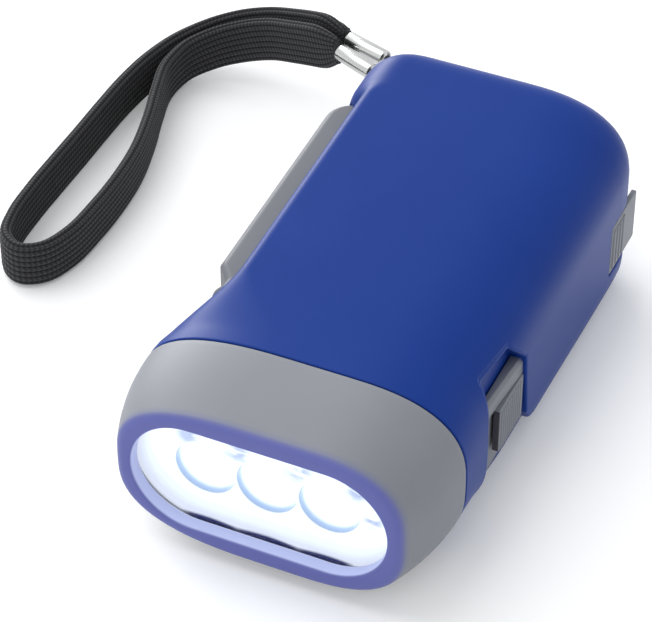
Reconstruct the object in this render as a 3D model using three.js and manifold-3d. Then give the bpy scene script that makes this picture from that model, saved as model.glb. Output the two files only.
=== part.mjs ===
// Squeeze-powered hand torch: two case halves round a lever, a gear train, a flywheel generator
// and three lamps, with a wrist strap. Millimetres, +Z up, lamps towards -Y, lever on -X.
// Inside this file y is counted from the front rim; the last group moves the middle of the
// case to the origin, and z is 0 on the table.
import * as THREE from 'three';
import { mergeVertices } from 'three/addons/utils/BufferGeometryUtils.js';
import Module from 'manifold-3d';

const wasm = await Module();
wasm.setup();

// Case, outside
const caseLength = 105;
const headLength = 18;
const rimWidth = 51.4;
const rimHeight = 29;
const rimRadius = 1.2;
const seamWidth = 59.6;
const seamHeight = 32.6;
const headAxisZ = 17.3;
const tailTopZ = 38;
const gripHalfWidth = 29.2;
const tailHalfWidth = 29.6;
const recessHalfWidth = 19.8;
const bumpHalfWidth = 25.2;
const sideFlat = 2;
const recessEdgeRadius = 2.2;
const bumpSideRadius = 10;
const footRadius = 8;
const shoulderHeight = 13;
const rearRadius = 7;
const rearRightRadius = 11;
const rearLeftRadius = 9;
const gripY = 48;
const tailBlendLength = 15;
const scoopStartY = 19.5;
const scoopEndY = 36.5;
const bumpInset = 13;
const bumpRise = 5;
const footStartY = 30;
const cornerExponent = 2.6;
const topFlatShare = 0.3;
const leftFlatShare = 0.05;

// Case, walls and gaps
const wall = 1.8;
const gap = 0.3;
const overrun = 1;
const bezelWall = 2;
const neckWall = 1.6;
const neckLength = 6;

// Lamps
const openingWidth = 46.5;
const openingHeight = 22.1;
const lipDepth = 2.7;
const lensWidth = 48.5;
const lensHeight = 24;
const lensThickness = 1.4;
const reflectorDepth = 6.8;
const reflectorFoot = 1;
const cupRadius = 5.4;
const cupPitch = 11.3;
const lampCount = 3;
const lampRadius = 2.5;
const lampFlangeRadius = 2.9;
const lampFlangeThickness = 1;
const lampBoardThickness = 1.6;

// Lever
const leverPinX = -19.5;
const leverPinY = 32;
const leverPinRadius = 0.9;
const leverPinCover = 0.8;
const knuckleRadius = 4.1;
const leverBottomZ = 5.5;
const leverTopZ = 30;
const leverInnerX = -18.6;
const leverOuterFront = 25.7;
const leverOuterRear = 27;
const leverStepY = 36.4;
const leverPlateY = 39.8;
const leverTailGap = 1;
const leverEndRadius = 4.5;
const leverEdgeRadius = 2.5;
const leverWall = 1.8;
const leverFlange = 1.6;
const catchInset = 5;
const catchThickness = 2;
const catchInnerX = -12.8;
const catchLip = 3.5;
const springWireRadius = 0.4;
const springCoils = 4;
const springWindowHeight = 7;
const springLegLength = 6;

// Gear train
const gearModule = 0.8;
const pressureAngle = 25;
const addendumShare = 0.8;
const dedendumShare = 1.1;
const toothThinning = 0.14;
const sectorTeeth = 100;
const pinionTeeth = 10;
const driveTeeth = 30;
const secondTeeth = 24;
const sectorContactAngle = 65;
const secondAngle = -95;
const rotorAngle = -50;
const sectorFirstTooth = -7;
const sectorLastTooth = 2;
const sectorEndAngle = 99;
const sectorRim = 3.5;
const gearFaceWidth = 2.5;
const sectorZ = 12;
const sectorThickness = 3;
const driveZ = 17;
const secondZ = 21.5;
const axleRadius = 1;
const axleBossRadius = 2.4;
const hubRadius = 2.2;
const plateZ = 25.5;
const plateThickness = 1.5;
const plateRim = 4;
const postRadius = 2.6;
const postShares = [[1.4084, 1.5072], [1.6568, 0.256], [-0.8017, -0.9953]];

// Generator
const magnetRadius = 8;
const magnetZ = 4.2;
const magnetHeight = 4.8;
const flywheelRadius = 11;
const flywheelThickness = 2;
const poleGap = 0.6;
const poleWidth = 2.5;
const coreZ = 5.2;
const coreHeight = 4;
const yokeDrop = 17;
const poleOpeningAngle = 50;
const coilRadius = 4.8;
const coilLength = 13;

// Battery and circuit board
const cellRadius = 10;
const cellThickness = 3.2;
const cellX = 6;
const cellTailGap = 17;
const cellCount = 2;
const holderWall = 1.2;
const holderHeight = 6;
const boardThickness = 1.2;
const boardLift = 1.9;
const boardWidth = 24;
const boardLength = 24;
const boardPadRadius = 1.6;

// Light switch
const switchPocketDepth = 3.2;
const switchY = 28.4;
const switchLength = 19;
const switchTopZ = 29.7;
const switchCornerLength = 6.2;
const switchCornerHeight = 6.8;
const switchLeanLength = 2;
const switchLeanHeight = 9;
const switchPlateY = 30.6;
const switchPlateThickness = 0.8;
const switchPlateBottomZ = 4.5;
const switchPlateTopZ = 23.1;
const switchPlateBevel = 2.4;
const knobRearY = 47;
const knobLength = 10.7;
const knobHeight = 9.4;
const knobBottomZ = 8.7;
const knobThickness = 1.5;
const knobRibs = 8;
const knobRibDepth = 0.3;
const knobTravel = 4;
const stemLength = 4;
const stemInset = 1;
const stemHeight = 3.4;
const switchUnitDepth = 5;
const switchUnitLength = 12;
const switchUnitHeight = 9;

// Lever lock
const lockPocketDepth = 2.1;
const lockTailGap = 3.5;
const lockLength = 12.9;
const lockHeight = 10.8;
const lockBottomZ = 8.7;
const lockThickness = 2;
const lockRibs = 4;
const lockRibDepth = 0.3;
const lockRibbedShare = 0.55;
const lockTravel = 3;
const lockBarInset = 0.6;
const lockBarWidth = 2.5;
const lockBarZ = 12.5;
const lockBarHeight = 3;
const lockArmX = -9.4;
const lockArmWidth = 2;
const lockHookGap = 0.7;
const lockHookWidth = 2;
const lockFingerX = -17.2;
const lockFingerWidth = 2;
const lockFingerLength = 3.3;

// Strap eye
const eyeX = -16;
const eyeWidth = 11;
const eyeHeight = 9;
const eyeCentreZ = 18.2;
const eyeDepth = 6.5;
const eyeWall = 1.5;
const eyePostRadius = 1.3;
const eyePostInset = 2.4;

// Screws
const screwRadius = 1.1;
const screwHeadRadius = 2.2;
const screwHeadHeight = 1.4;
const screwHeadZ = 0.8;
const frontScrewLift = 1.7;
const frontScrewReach = 35;
const screwTopZ = 16;
const screwBossRadius = 3.3;
const caseScrewShares = [[0.7, 0.229], [-0.55, 0.224], [0.755, 0.8], [-0.168, 0.941]];
const plateScrewDepth = 6;

// Wrist strap: a flat woven band on edge, two crimped tubes and a thin cord through the eye
const bandWidth = 9.6;
const bandThickness = 2.4;
const cordRadius = 0.9;
const ferruleRadius = 1.7;
const bandTaperSteps = 4;
const bandPoints = [
  [-38.6, 123.2, 19.5], [-44.0, 124.9, 17.9], [-51.0, 127.4, 15.3], [-58.5, 129.3, 12.5],
  [-65.5, 129.2, 9.8], [-71.8, 126.6, 7.4], [-76.4, 121.6, 5.9], [-79.0, 114.5, 5.2],
  [-80.0, 105.5, 5.1], [-80.1, 96.0, 5.1], [-80.0, 86.5, 5.1], [-80.0, 77.0, 5.1],
  [-79.9, 67.5, 5.1], [-79.2, 58.8, 5.1], [-77.2, 52.6, 5.1], [-73.3, 50.4, 5.1],
  [-69.4, 52.6, 5.1], [-67.0, 58.8, 5.1], [-66.3, 68.0, 5.1], [-66.4, 77.0, 5.1],
  [-67.4, 86.5, 5.1], [-69.8, 96.5, 5.1], [-72.6, 105.5, 5.1], [-74.5, 113.5, 5.2],
  [-73.3, 119.9, 6.0], [-69.0, 123.8, 7.8], [-63.5, 125.5, 10.0], [-57.0, 125.3, 12.7],
  [-50.0, 123.1, 15.4], [-43.5, 120.6, 17.9], [-38.4, 118.6, 19.5],
];
const cordPoints = [
  [-28.9, 119.6, 19.8], [-26.5, 118.6, 19.8], [-22.5, 115.8, 19.6], [-18.4, 111.0, 19.1],
  [-14.9, 106.0, 18.4], [-13.3, 102.8, 18.2], [-13.9, 100.9, 18.2], [-16.0, 99.9, 18.2],
  [-18.1, 100.9, 18.2], [-18.9, 102.8, 18.2], [-20.8, 106.2, 18.4], [-24.6, 110.4, 19.1],
  [-27.8, 113.2, 19.6], [-29.4, 114.5, 19.8],
];

// Facets of round things
const boltSides = 12;
const pinSides = 16;
const ringSides = 24;
const poleSides = 32;
const cupSides = 20;
const wireSides = 5;
const turnSteps = 8;
const legSteps = 4;
const bandSides = 8;
const bandSteps = 72;
const cordSides = 8;
const cordSteps = 26;
const cornerSteps = 6;
const stadiumSteps = 12;

// Colours
const blue = 0x2b4796;
const grey = 0x8e9197;
const darkGrey = 0x3c3f44;
const steel = 0xb9bcc0;
const chrome = 0xe6e8ee;
const clear = 0xe9eef8;
const gearWhite = 0xe4e0d2;
const boardGreen = 0x2f6d45;
const copper = 0xb06a35;
const webbing = 0x2c2d30;

// Shapes
const steps = (from, to, count) =>
  Array.from({ length: count + 1 }, (_, i) => from + ((to - from) * i) / count);
const mix = (a, b, t) => a + (b - a) * t;
const smooth = (from, to, y) => THREE.MathUtils.smoothstep(y, from, to);
const polar = (radius, degrees) => [
  radius * Math.cos(THREE.MathUtils.degToRad(degrees)),
  radius * Math.sin(THREE.MathUtils.degToRad(degrees)),
];

function solid(geometry) {
  const bare = geometry.index ? geometry.toNonIndexed() : geometry.clone();
  bare.deleteAttribute('normal');
  bare.deleteAttribute('uv');
  const merged = mergeVertices(bare);
  const corners = Array.from(merged.index.array);
  const faces = [];
  for (let i = 0; i < corners.length; i += 3) {
    const [a, b, c] = corners.slice(i, i + 3);
    if (a !== b && b !== c && c !== a) faces.push(a, b, c);
  }
  const vertProperties = new Float32Array(merged.attributes.position.array);
  const triVerts = new Uint32Array(faces);
  return new wasm.Manifold(new wasm.Mesh({ numProp: 3, vertProperties, triVerts }));
}

function surface(manifold) {
  const mesh = manifold.getMesh();
  const geometry = new THREE.BufferGeometry();
  geometry.setAttribute('position', new THREE.BufferAttribute(new Float32Array(mesh.vertProperties), 3));
  geometry.setIndex(new THREE.BufferAttribute(new Uint32Array(mesh.triVerts), 1));
  geometry.computeVertexNormals();
  return geometry;
}

const add = (first, ...others) => others.reduce((all, one) => all.add(one), first);
const cut = (first, ...others) => others.reduce((all, one) => all.subtract(one), first);

function box(x0, x1, y0, y1, z0, z1) {
  const geometry = new THREE.BoxGeometry(x1 - x0, y1 - y0, z1 - z0);
  geometry.translate((x0 + x1) / 2, (y0 + y1) / 2, (z0 + z1) / 2);
  return solid(geometry);
}

function rod(radius, x, y, z0, z1, sides = pinSides) {
  const geometry = new THREE.CylinderGeometry(radius, radius, z1 - z0, sides);
  geometry.rotateX(Math.PI / 2);
  geometry.translate(x, y, (z0 + z1) / 2);
  return solid(geometry);
}

function prism(points, z0, z1) {
  const shape = new THREE.Shape(points.map(([x, y]) => new THREE.Vector2(x, y)));
  const geometry = new THREE.ExtrudeGeometry(shape, { depth: z1 - z0, bevelEnabled: false });
  geometry.translate(0, 0, z0);
  return solid(geometry);
}

// A prism along y; its points are x and height above the head's axis
function prismY(points, y0, y1) {
  const shape = new THREE.Shape(points.map(([x, z]) => new THREE.Vector2(x, z)));
  const geometry = new THREE.ExtrudeGeometry(shape, { depth: y1 - y0, bevelEnabled: false });
  geometry.rotateX(Math.PI / 2);
  geometry.translate(0, y1, headAxisZ);
  return solid(geometry);
}

// A prism along x; its points are y and z
function prismX(points, x0, x1) {
  const shape = new THREE.Shape(points.map(([y, z]) => new THREE.Vector2(y, z)));
  const geometry = new THREE.ExtrudeGeometry(shape, { depth: x1 - x0, bevelEnabled: false });
  geometry.applyMatrix4(new THREE.Matrix4().makeBasis(
    new THREE.Vector3(0, 1, 0), new THREE.Vector3(0, 0, 1), new THREE.Vector3(1, 0, 0)));
  geometry.translate(x0, 0, 0);
  return solid(geometry);
}

function stadium(width, height) {
  const radius = height / 2;
  const offset = width / 2 - radius;
  const right = steps(-90, 90, stadiumSteps).map((a) => polar(radius, a)).map(([x, z]) => [x + offset, z]);
  const left = steps(90, 270, stadiumSteps).map((a) => polar(radius, a)).map(([x, z]) => [x - offset, z]);
  return [...right, ...left];
}

// Joins rings of equal length into one closed skin
function loft(rings) {
  const positions = [];
  const triangle = (a, b, c) => positions.push(...a, ...b, ...c);
  const count = rings[0].length;
  const middle = (ring) =>
    [0, 1, 2].map((axis) => ring.reduce((sum, point) => sum + point[axis], 0) / count);
  for (let i = 0; i + 1 < rings.length; i += 1) {
    for (let j = 0; j < count; j += 1) {
      const k = (j + 1) % count;
      triangle(rings[i][j], rings[i + 1][j], rings[i + 1][k]);
      triangle(rings[i][j], rings[i + 1][k], rings[i][k]);
    }
  }
  const first = rings[0];
  const last = rings[rings.length - 1];
  for (let j = 0; j < count; j += 1) {
    const k = (j + 1) % count;
    triangle(middle(first), first[j], first[k]);
    triangle(middle(last), last[k], last[j]);
  }
  const geometry = new THREE.BufferGeometry();
  geometry.setAttribute('position', new THREE.BufferAttribute(new Float32Array(positions), 3));
  return solid(geometry);
}

// One upright ring: a box with a full curve at each corner, each side with its own radius
function sectionRing(y, size, inset) {
  const left = size.left - inset;
  const right = size.right - inset;
  const top = size.top - inset;
  const bottom = size.bottom + inset;
  const half = (top - bottom) / 2 - sideFlat / 2;
  const corner = (side, sign, radius, height) => {
    const rx = Math.max(radius - inset, gap);
    const rz = Math.min(Math.max(height - inset, gap), half);
    const points = steps(0, 90, cornerSteps).map((angle) => {
      const [c, s] = polar(1, angle);
      const x = side - rx + rx * Math.max(c, 0) ** (2 / cornerExponent);
      const z = rz - rz * Math.max(s, 0) ** (2 / cornerExponent);
      return [x, z];
    });
    return sign > 0 ? points : points.reverse();
  };
  const upRight = corner(right, 1, size.rightRadius, size.rightHeight).map(([x, z]) => [x, y, top - z]);
  const upLeft = corner(left, -1, size.leftRadius, size.leftHeight).map(([x, z]) => [-x, y, top - z]);
  const downLeft = corner(left, 1, size.leftRadius, size.leftHeight).map(([x, z]) => [-x, y, bottom + z]);
  const downRight = corner(right, -1, size.footRadius, size.footHeight).map(([x, z]) => [x, y, bottom + z]);
  return [...upRight, ...upLeft, ...downLeft, ...downRight];
}

// Head: a tapered barrel from the rim to the seam
function headSize(y) {
  const t = 1 - (1 - y / headLength) ** 2;
  const half = mix(rimWidth, seamWidth, t) / 2;
  const height = mix(rimHeight, seamHeight, t);
  const edge = Math.max(rimRadius - y, 0);
  const round = rimRadius - Math.sqrt(rimRadius ** 2 - edge ** 2);
  return {
    left: half - round,
    right: half - round,
    top: headAxisZ + height / 2 - round,
    bottom: headAxisZ - height / 2 + round,
    leftRadius: half * (1 - leftFlatShare),
    rightRadius: half * (1 - topFlatShare),
    footRadius: half * (1 - topFlatShare),
    leftHeight: height / 2,
    rightHeight: height / 2,
    footHeight: height / 2,
  };
}

const tailY = caseLength - tailBlendLength;
const bumpEndY = caseLength - bumpInset;
const bumpStartY = bumpEndY - bumpRise;
const leverEndY = bumpEndY - leverTailGap;
const catchY = leverEndY - catchInset;
const cellY = caseLength - cellTailGap;
const switchFloorX = gripHalfWidth - switchPocketDepth;
const switchRearY = switchY + switchLength;
const lockFloorX = tailHalfWidth - lockPocketDepth;
const lockY = caseLength - lockTailGap - lockLength;
const lockBarY = lockY + lockBarInset;
const lockHookY = catchY - catchLip - lockHookGap - lockFingerLength - lockHookWidth;

const cornerInset = (radius, y) => {
  const into = Math.min(Math.max(y - (caseLength - radius), 0), radius);
  return radius - Math.sqrt(radius ** 2 - into ** 2);
};

// Case behind the seam: hollowed on the left for the lever, with a bump at the tail
function caseSize(y) {
  const seamHalf = seamWidth / 2;
  const scoop = smooth(scoopStartY, scoopEndY, y);
  const bump = smooth(bumpStartY, bumpEndY, y);
  const recess = scoop - bump;
  const along = (y - headLength) / (caseLength - headLength);
  const seamTop = headAxisZ + seamHeight / 2;
  const seamBottom = headAxisZ - seamHeight / 2;
  const rise = cornerInset(rearRadius, y);
  const top = mix(seamTop, tailTopZ, along);
  const bottom = mix(seamBottom, 0, smooth(headLength, footStartY, y));
  const half = (top - bottom) / 2;
  const grip = smooth(headLength, gripY, y);
  const right = mix(seamHalf, gripHalfWidth, grip);
  const left = y < gripY ? mix(seamHalf, recessHalfWidth, scoop) : mix(recessHalfWidth, bumpHalfWidth, bump);
  const freeRadius = y < gripY ? seamHalf * (1 - leftFlatShare) : bumpSideRadius;
  return {
    left: left - cornerInset(rearLeftRadius, y),
    right: mix(right, tailHalfWidth, smooth(gripY, tailY, y)) - cornerInset(rearRightRadius, y),
    top: top - rise,
    bottom: bottom + rise,
    leftRadius: mix(freeRadius, recessEdgeRadius, recess),
    rightRadius: seamHalf * (1 - topFlatShare) - cornerInset(rearRadius, y),
    footRadius: mix(seamHalf * (1 - topFlatShare), footRadius, grip),
    leftHeight: mix(half, recessEdgeRadius, recess),
    rightHeight: mix(half, shoulderHeight, grip),
    footHeight: mix(half, footRadius, grip),
  };
}

const seamY = headLength + gap;
const caseStations = [
  seamY,
  ...steps(scoopStartY, scoopEndY, 6),
  gripY,
  (gripY + bumpStartY) / 2,
  ...steps(bumpStartY, bumpEndY, 4),
  ...steps(20, 90, 5).map((angle) => caseLength - rearRightRadius + polar(rearRightRadius, angle)[1]),
];
const caseSkin = (inset, start) =>
  loft(
    caseStations
      .filter((y) => y > start)
      .map((y) => Math.min(y, caseLength - inset))
      .concat(start)
      .filter((y, i, all) => all.indexOf(y) === i)
      .sort((a, b) => a - b)
      .map((y) => sectionRing(y, caseSize(y), inset)),
  );
const headSkin = (inset, y0, y1, count) =>
  loft(steps(y0, y1, count).map((y) => sectionRing(y, headSize(Math.min(y, headLength)), inset)));

// Places shared by several pieces
const caseScrews = caseScrewShares.map(([x, y]) => [(x * seamWidth) / 2, y * caseLength]);
const headZ = (y) => screwHeadZ + (y < frontScrewReach ? frontScrewLift : 0);
const neckInset = bezelWall + gap;
const neckStart = headLength - neckLength;
const lensY = lipDepth + gap;
const reflectorY = lensY + lensThickness + gap;
const lampBoardY = reflectorY + reflectorDepth + lampFlangeThickness + gap + gap;
const pitchRadius = (teeth) => (gearModule * teeth) / 2;
const stage = (from, first, second, angle) => {
  const [dx, dy] = polar(pitchRadius(first) + pitchRadius(second), angle);
  return [from[0] + dx, from[1] + dy];
};
const leverPivot = [leverPinX, leverPinY];
const driveAxis = stage(leverPivot, sectorTeeth, pinionTeeth, sectorContactAngle);
const secondAxis = stage(driveAxis, driveTeeth, pinionTeeth, secondAngle);
const rotorAxis = stage(secondAxis, secondTeeth, pinionTeeth, rotorAngle);
const aboutSecond = ([x, y]) =>
  [secondAxis[0] + x * pitchRadius(driveTeeth), secondAxis[1] + y * pitchRadius(driveTeeth)];
const posts = postShares.map(aboutSecond);
const leverMiddleZ = (leverBottomZ + leverTopZ) / 2;
const knobMiddleZ = knobBottomZ + knobHeight / 2;
const stemY = knobRearY - stemInset - stemLength;
const partingZ = leverBottomZ - gap - gap / 2;
const leverSpaceX = wall + gap - recessHalfWidth;
const topWallZ = (y) => caseSize(y).top - wall;

// Involute teeth, as the outline of a whole wheel with one tooth centred on the given angle
function toothFlank(teeth) {
  const pitch = pitchRadius(teeth);
  const base = pitch * Math.cos(THREE.MathUtils.degToRad(pressureAngle));
  const tip = pitch + gearModule * addendumShare;
  const root = pitch - gearModule * dedendumShare;
  const involute = (radius) => {
    const angle = Math.acos(Math.min(base / radius, 1));
    return Math.tan(angle) - angle;
  };
  const halfTooth = Math.PI / (2 * teeth) - toothThinning / 2 / pitch;
  const angleAt = (radius) => halfTooth + involute(pitch) - involute(Math.max(radius, base));
  const start = Math.max(base, root);
  const flank = steps(start, tip, 2).map((radius) => [radius, angleAt(radius)]);
  return root < base ? [[root, angleAt(base)], ...flank] : flank;
}

function toothPoints(teeth, centre) {
  const flank = toothFlank(teeth);
  const rising = flank.map(([radius, angle]) => [radius, centre - angle]);
  const falling = [...flank].reverse().map(([radius, angle]) => [radius, centre + angle]);
  const place = ([radius, angle]) => [radius * Math.cos(angle), radius * Math.sin(angle)];
  return [...rising, ...falling].map(place);
}

function wheel(teeth, axis, toothAngle, z0, z1) {
  const pitch = (2 * Math.PI) / teeth;
  const first = THREE.MathUtils.degToRad(toothAngle);
  const points = Array.from({ length: teeth }, (_, i) => toothPoints(teeth, first + i * pitch)).flat();
  return prism(points.map(([x, y]) => [x + axis[0], y + axis[1]]), z0, z1);
}

const gapAngle = (angle, teeth) => angle + 180 + 180 / teeth;

// Case halves
function caseBody() {
  const outside = add(caseSkin(0, seamY), headSkin(neckInset, neckStart, headLength + wall, 3));
  const inside = add(
    caseSkin(wall, seamY + wall),
    headSkin(neckInset + neckWall, neckStart - overrun, seamY + wall + overrun, 3),
  );
  const liners = [
    box(switchFloorX - wall, tailHalfWidth, switchY - wall, switchRearY + wall, 0, switchTopZ + wall),
    box(lockFloorX - wall, tailHalfWidth, lockY - gap - wall, caseLength,
      lockBottomZ - wall, lockBottomZ + lockHeight + wall),
    box(eyeX - eyeWidth / 2 - eyeWall, eyeX + eyeWidth / 2 + eyeWall,
      caseLength - eyeDepth - eyeWall, caseLength,
      eyeCentreZ - eyeHeight / 2 - eyeWall, eyeCentreZ + eyeHeight / 2 + eyeWall),
  ];
  const bosses = [
    ...caseScrews.map(([x, y]) => rod(screwBossRadius, x, y, 0, tailTopZ, boltSides)),
    rod(knuckleRadius, ...leverPivot, 0, leverBottomZ - gap, boltSides),
    rod(knuckleRadius, ...leverPivot, leverTopZ + gap, tailTopZ, boltSides),
  ];
  const added = [...liners, ...bosses].map((one) => one.intersect(outside));
  return cut(add(cut(outside, inside), ...added), ...caseCuts());
}

// What stands up from the floor of the lower half: axle seats, pillars and pads
function floorPieces() {
  const axles = [driveAxis, secondAxis, rotorAxis].map((axis) =>
    cut(rod(axleBossRadius, ...axis, wall / 2, wall + wall, boltSides),
      rod(axleRadius + gap, ...axis, wall, wall + wall + overrun, boltSides)));
  const pillars = posts.map(([x, y]) =>
    cut(rod(postRadius, x, y, wall / 2, plateZ - gap, boltSides),
      rod(screwRadius + gap, x, y, plateZ - plateScrewDepth - gap, plateZ, boltSides)));
  return [...axles, ...pillars, ...coreFeet()];
}

// Pads under the generator's core
function coreFeet() {
  const offset = magnetRadius + poleGap + poleWidth / 2;
  return [-offset, offset].map((dx) =>
    box(rotorAxis[0] + dx - poleWidth / 2, rotorAxis[0] + dx + poleWidth / 2,
      rotorAxis[1] - yokeDrop + poleWidth + gap, rotorAxis[1] - magnetRadius, wall / 2, coreZ - gap));
}

function caseCuts() {
  const leverSpace = add(
    box(-seamWidth, leverSpaceX, leverPinY + gap, leverEndY + gap, partingZ, leverTopZ + gap),
    rod(knuckleRadius + gap, ...leverPivot, partingZ, leverTopZ + gap),
  );
  const screwHoles = caseScrews.map(([x, y]) =>
    add(
      rod(screwHeadRadius + gap, x, y, -overrun, headZ(y) + screwHeadHeight + gap, pinSides),
      rod(screwRadius + gap, x, y, headZ(y), screwTopZ + gap, boltSides),
    ));
  const pinHole = rod(leverPinRadius + gap, ...leverPivot,
    wall + leverPinCover, topWallZ(leverPinY) - leverPinCover);
  const switchPocket = prismX([
    [switchY, -overrun], [switchRearY, -overrun], [switchRearY, switchTopZ - switchCornerHeight],
    [switchRearY - switchCornerLength, switchTopZ], [switchY + switchLeanLength, switchTopZ],
    [switchY, switchTopZ - switchLeanHeight],
  ], switchFloorX, seamWidth);
  const switchSlot = slotBox(switchFloorX, stemY - knobTravel - gap, stemLength + knobTravel + gap + gap,
    knobMiddleZ, stemHeight + gap + gap);
  const lockPocket = box(lockFloorX, seamWidth, lockY - gap, caseLength + overrun,
    lockBottomZ - gap, lockBottomZ + lockHeight + gap);
  const lockSlot = slotBox(lockFloorX, lockBarY - gap, lockBarWidth + lockTravel + gap + gap,
    lockBarZ + lockBarHeight / 2, lockBarHeight + gap + gap);
  const eye = box(eyeX - eyeWidth / 2, eyeX + eyeWidth / 2, caseLength - eyeDepth, caseLength + overrun,
    eyeCentreZ - eyeHeight / 2, eyeCentreZ + eyeHeight / 2);
  const eyePostHole = rod(eyePostRadius + gap, eyeX, caseLength - eyePostInset,
    eyeCentreZ - eyeHeight / 2 - eyeWall + gap, eyeCentreZ + eyeHeight / 2 + eyeWall - gap);
  const pockets = [switchPocket, switchSlot, lockPocket, lockSlot, eye, eyePostHole];
  return [leverSpace, ...screwHoles, pinHole, ...pockets];
}

// A slot through the right-hand wall from the given floor inwards
function slotBox(floorX, y, length, middleZ, height) {
  const bottom = middleZ - height / 2;
  return box(floorX - wall - overrun, floorX + overrun, y, y + length, bottom, bottom + height);
}

const body = caseBody();
const reach = caseLength + seamWidth;
const above = box(-reach, reach, -reach, reach, partingZ + gap / 2, reach);
const below = box(-reach, reach, -reach, reach, -reach, partingZ - gap / 2);

// Front: bezel, window, reflector and lamps
function bezel() {
  const rings = [0, rimRadius / 4, rimRadius, ...steps(headLength / 4, headLength, 3)];
  const outside = loft(rings.map((y) => sectionRing(y, headSize(y), 0)));
  return cut(
    outside,
    prismY(stadium(openingWidth, openingHeight), -overrun, lipDepth + overrun),
    prismY(stadium(lensWidth + gap + gap, lensHeight + gap + gap), lipDepth, neckStart + overrun),
    headSkin(bezelWall, neckStart - gap, headLength + overrun, 3),
  );
}

const lampX = (i) => (i - (lampCount - 1) / 2) * cupPitch;

function lathePiece(profile, sides, place) {
  const geometry = new THREE.LatheGeometry(profile.map(([r, h]) => new THREE.Vector2(r, h)), sides);
  place(geometry);
  return solid(geometry);
}

const alongY = (x, y) => (geometry) => {
  geometry.translate(0, y, 0);
  geometry.translate(x, 0, headAxisZ);
};

function reflector() {
  const depth = reflectorDepth;
  const bowl = steps(0, 1, 4).map((t) => {
    const radius = mix(cupRadius, lampRadius + gap, t ** 2);
    return [radius, mix(0, depth - reflectorFoot, t)];
  });
  const profile = [[0, -overrun], [cupRadius, -overrun], ...bowl, [lampRadius + gap, depth + overrun],
    [0, depth + overrun]];
  const cups = Array.from({ length: lampCount }, (_, i) =>
    lathePiece(profile, cupSides, alongY(lampX(i), reflectorY)));
  return cut(prismY(stadium(lensWidth, lensHeight), reflectorY, reflectorY + depth), ...cups);
}

function lamp(i) {
  const base = reflectorY + reflectorDepth + gap;
  const front = lensY + lensThickness + gap + gap;
  const straight = front + lampRadius;
  const dome = steps(0, 90, 4).map((angle) => {
    const [c, s] = polar(lampRadius, angle);
    return [Math.max(s, 0), straight - c];
  });
  const profile = [...dome, [lampRadius, base], [lampFlangeRadius, base],
    [lampFlangeRadius, base + lampFlangeThickness], [0, base + lampFlangeThickness]];
  return lathePiece(profile, pinSides, alongY(lampX(i), 0));
}

function lampBoard() {
  const y = lampBoardY;
  const skin = headSkin(neckInset + neckWall + gap, y, y + lampBoardThickness, 1);
  const height = lensHeight / 2;
  const corners = [[-seamWidth, -height], [seamWidth, -height], [seamWidth, height], [-seamWidth, height]];
  return skin.intersect(prismY(corners, y - overrun, y + lampBoardThickness + overrun));
}

// Lever: a channel that fills the hollow, with its knuckle, toothed arc and catch
function leverOuter(y, inset) {
  const tongue = -leverPinX + knuckleRadius;
  const t = THREE.MathUtils.clamp((y - leverStepY) / (leverPlateY - leverStepY), 0, 1);
  const plate = mix(leverOuterFront, leverOuterRear, (y - leverPlateY) / (leverEndY - leverPlateY));
  const into = Math.min(Math.max(y + inset - (leverEndY - leverEndRadius), 0), leverEndRadius);
  return mix(tongue, plate, t) - inset - (leverEndRadius - Math.sqrt(leverEndRadius ** 2 - into ** 2));
}

function leverRing(y, inset, innerX) {
  const outer = leverOuter(y, inset);
  const radius = Math.max(leverEdgeRadius - inset, gap);
  const bottom = leverBottomZ + (inset ? leverFlange : 0);
  const top = leverTopZ - (inset ? leverFlange : 0);
  const round = steps(0, 90, 3).map((a) => polar(radius, a));
  const upper = [...round].reverse().map(([dx, dz]) => [-(outer - radius + dx), y, top - radius + dz]);
  const lower = round.map(([dx, dz]) => [-(outer - radius + dx), y, bottom + radius - dz]);
  return [[innerX, y, top], ...upper, ...lower, [innerX, y, bottom]];
}

function lever() {
  const rear = steps(0, 90, 4).map((a) => leverEndY - leverEndRadius + polar(leverEndRadius, a)[1]);
  const outerStations = [leverPinY, leverStepY, leverPlateY, ...rear];
  const channel = loft(outerStations.map((y) => leverRing(y, 0, leverInnerX)));
  const innerRear = rear.map((y) => y - leverWall);
  const hollowStations = [leverPlateY, ...innerRear];
  const hollow = loft(hollowStations.map((y) => leverRing(y, leverWall, leverInnerX + overrun)));
  const knuckle = rod(knuckleRadius, ...leverPivot, leverBottomZ, leverTopZ);
  const springWindow = box(leverPinX - knuckleRadius - overrun, leverPinX + knuckleRadius + overrun,
    leverPinY - knuckleRadius - overrun, leverPinY + knuckleRadius + gap,
    leverMiddleZ - springWindowHeight / 2, leverMiddleZ + springWindowHeight / 2);
  const skinWall = box(-seamWidth, leverPinX - leverPinRadius - wall, leverPinY - overrun,
    leverPinY + knuckleRadius + overrun, leverBottomZ, leverTopZ);
  const tab = (x0, y0) =>
    box(x0, catchInnerX, y0, catchY + catchThickness, sectorZ, sectorZ + sectorThickness);
  const catchTab = add(
    tab(-leverOuterRear + leverWall / 2, catchY),
    tab(catchInnerX - catchThickness, catchY - catchLip),
  );
  const pinHole = rod(leverPinRadius + gap, ...leverPivot, leverBottomZ - overrun, leverTopZ + overrun);
  const shaped = add(cut(channel, hollow), knuckle, toothedArc(), catchTab);
  return cut(shaped, cut(springWindow, skinWall), pinHole);
}

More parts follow.
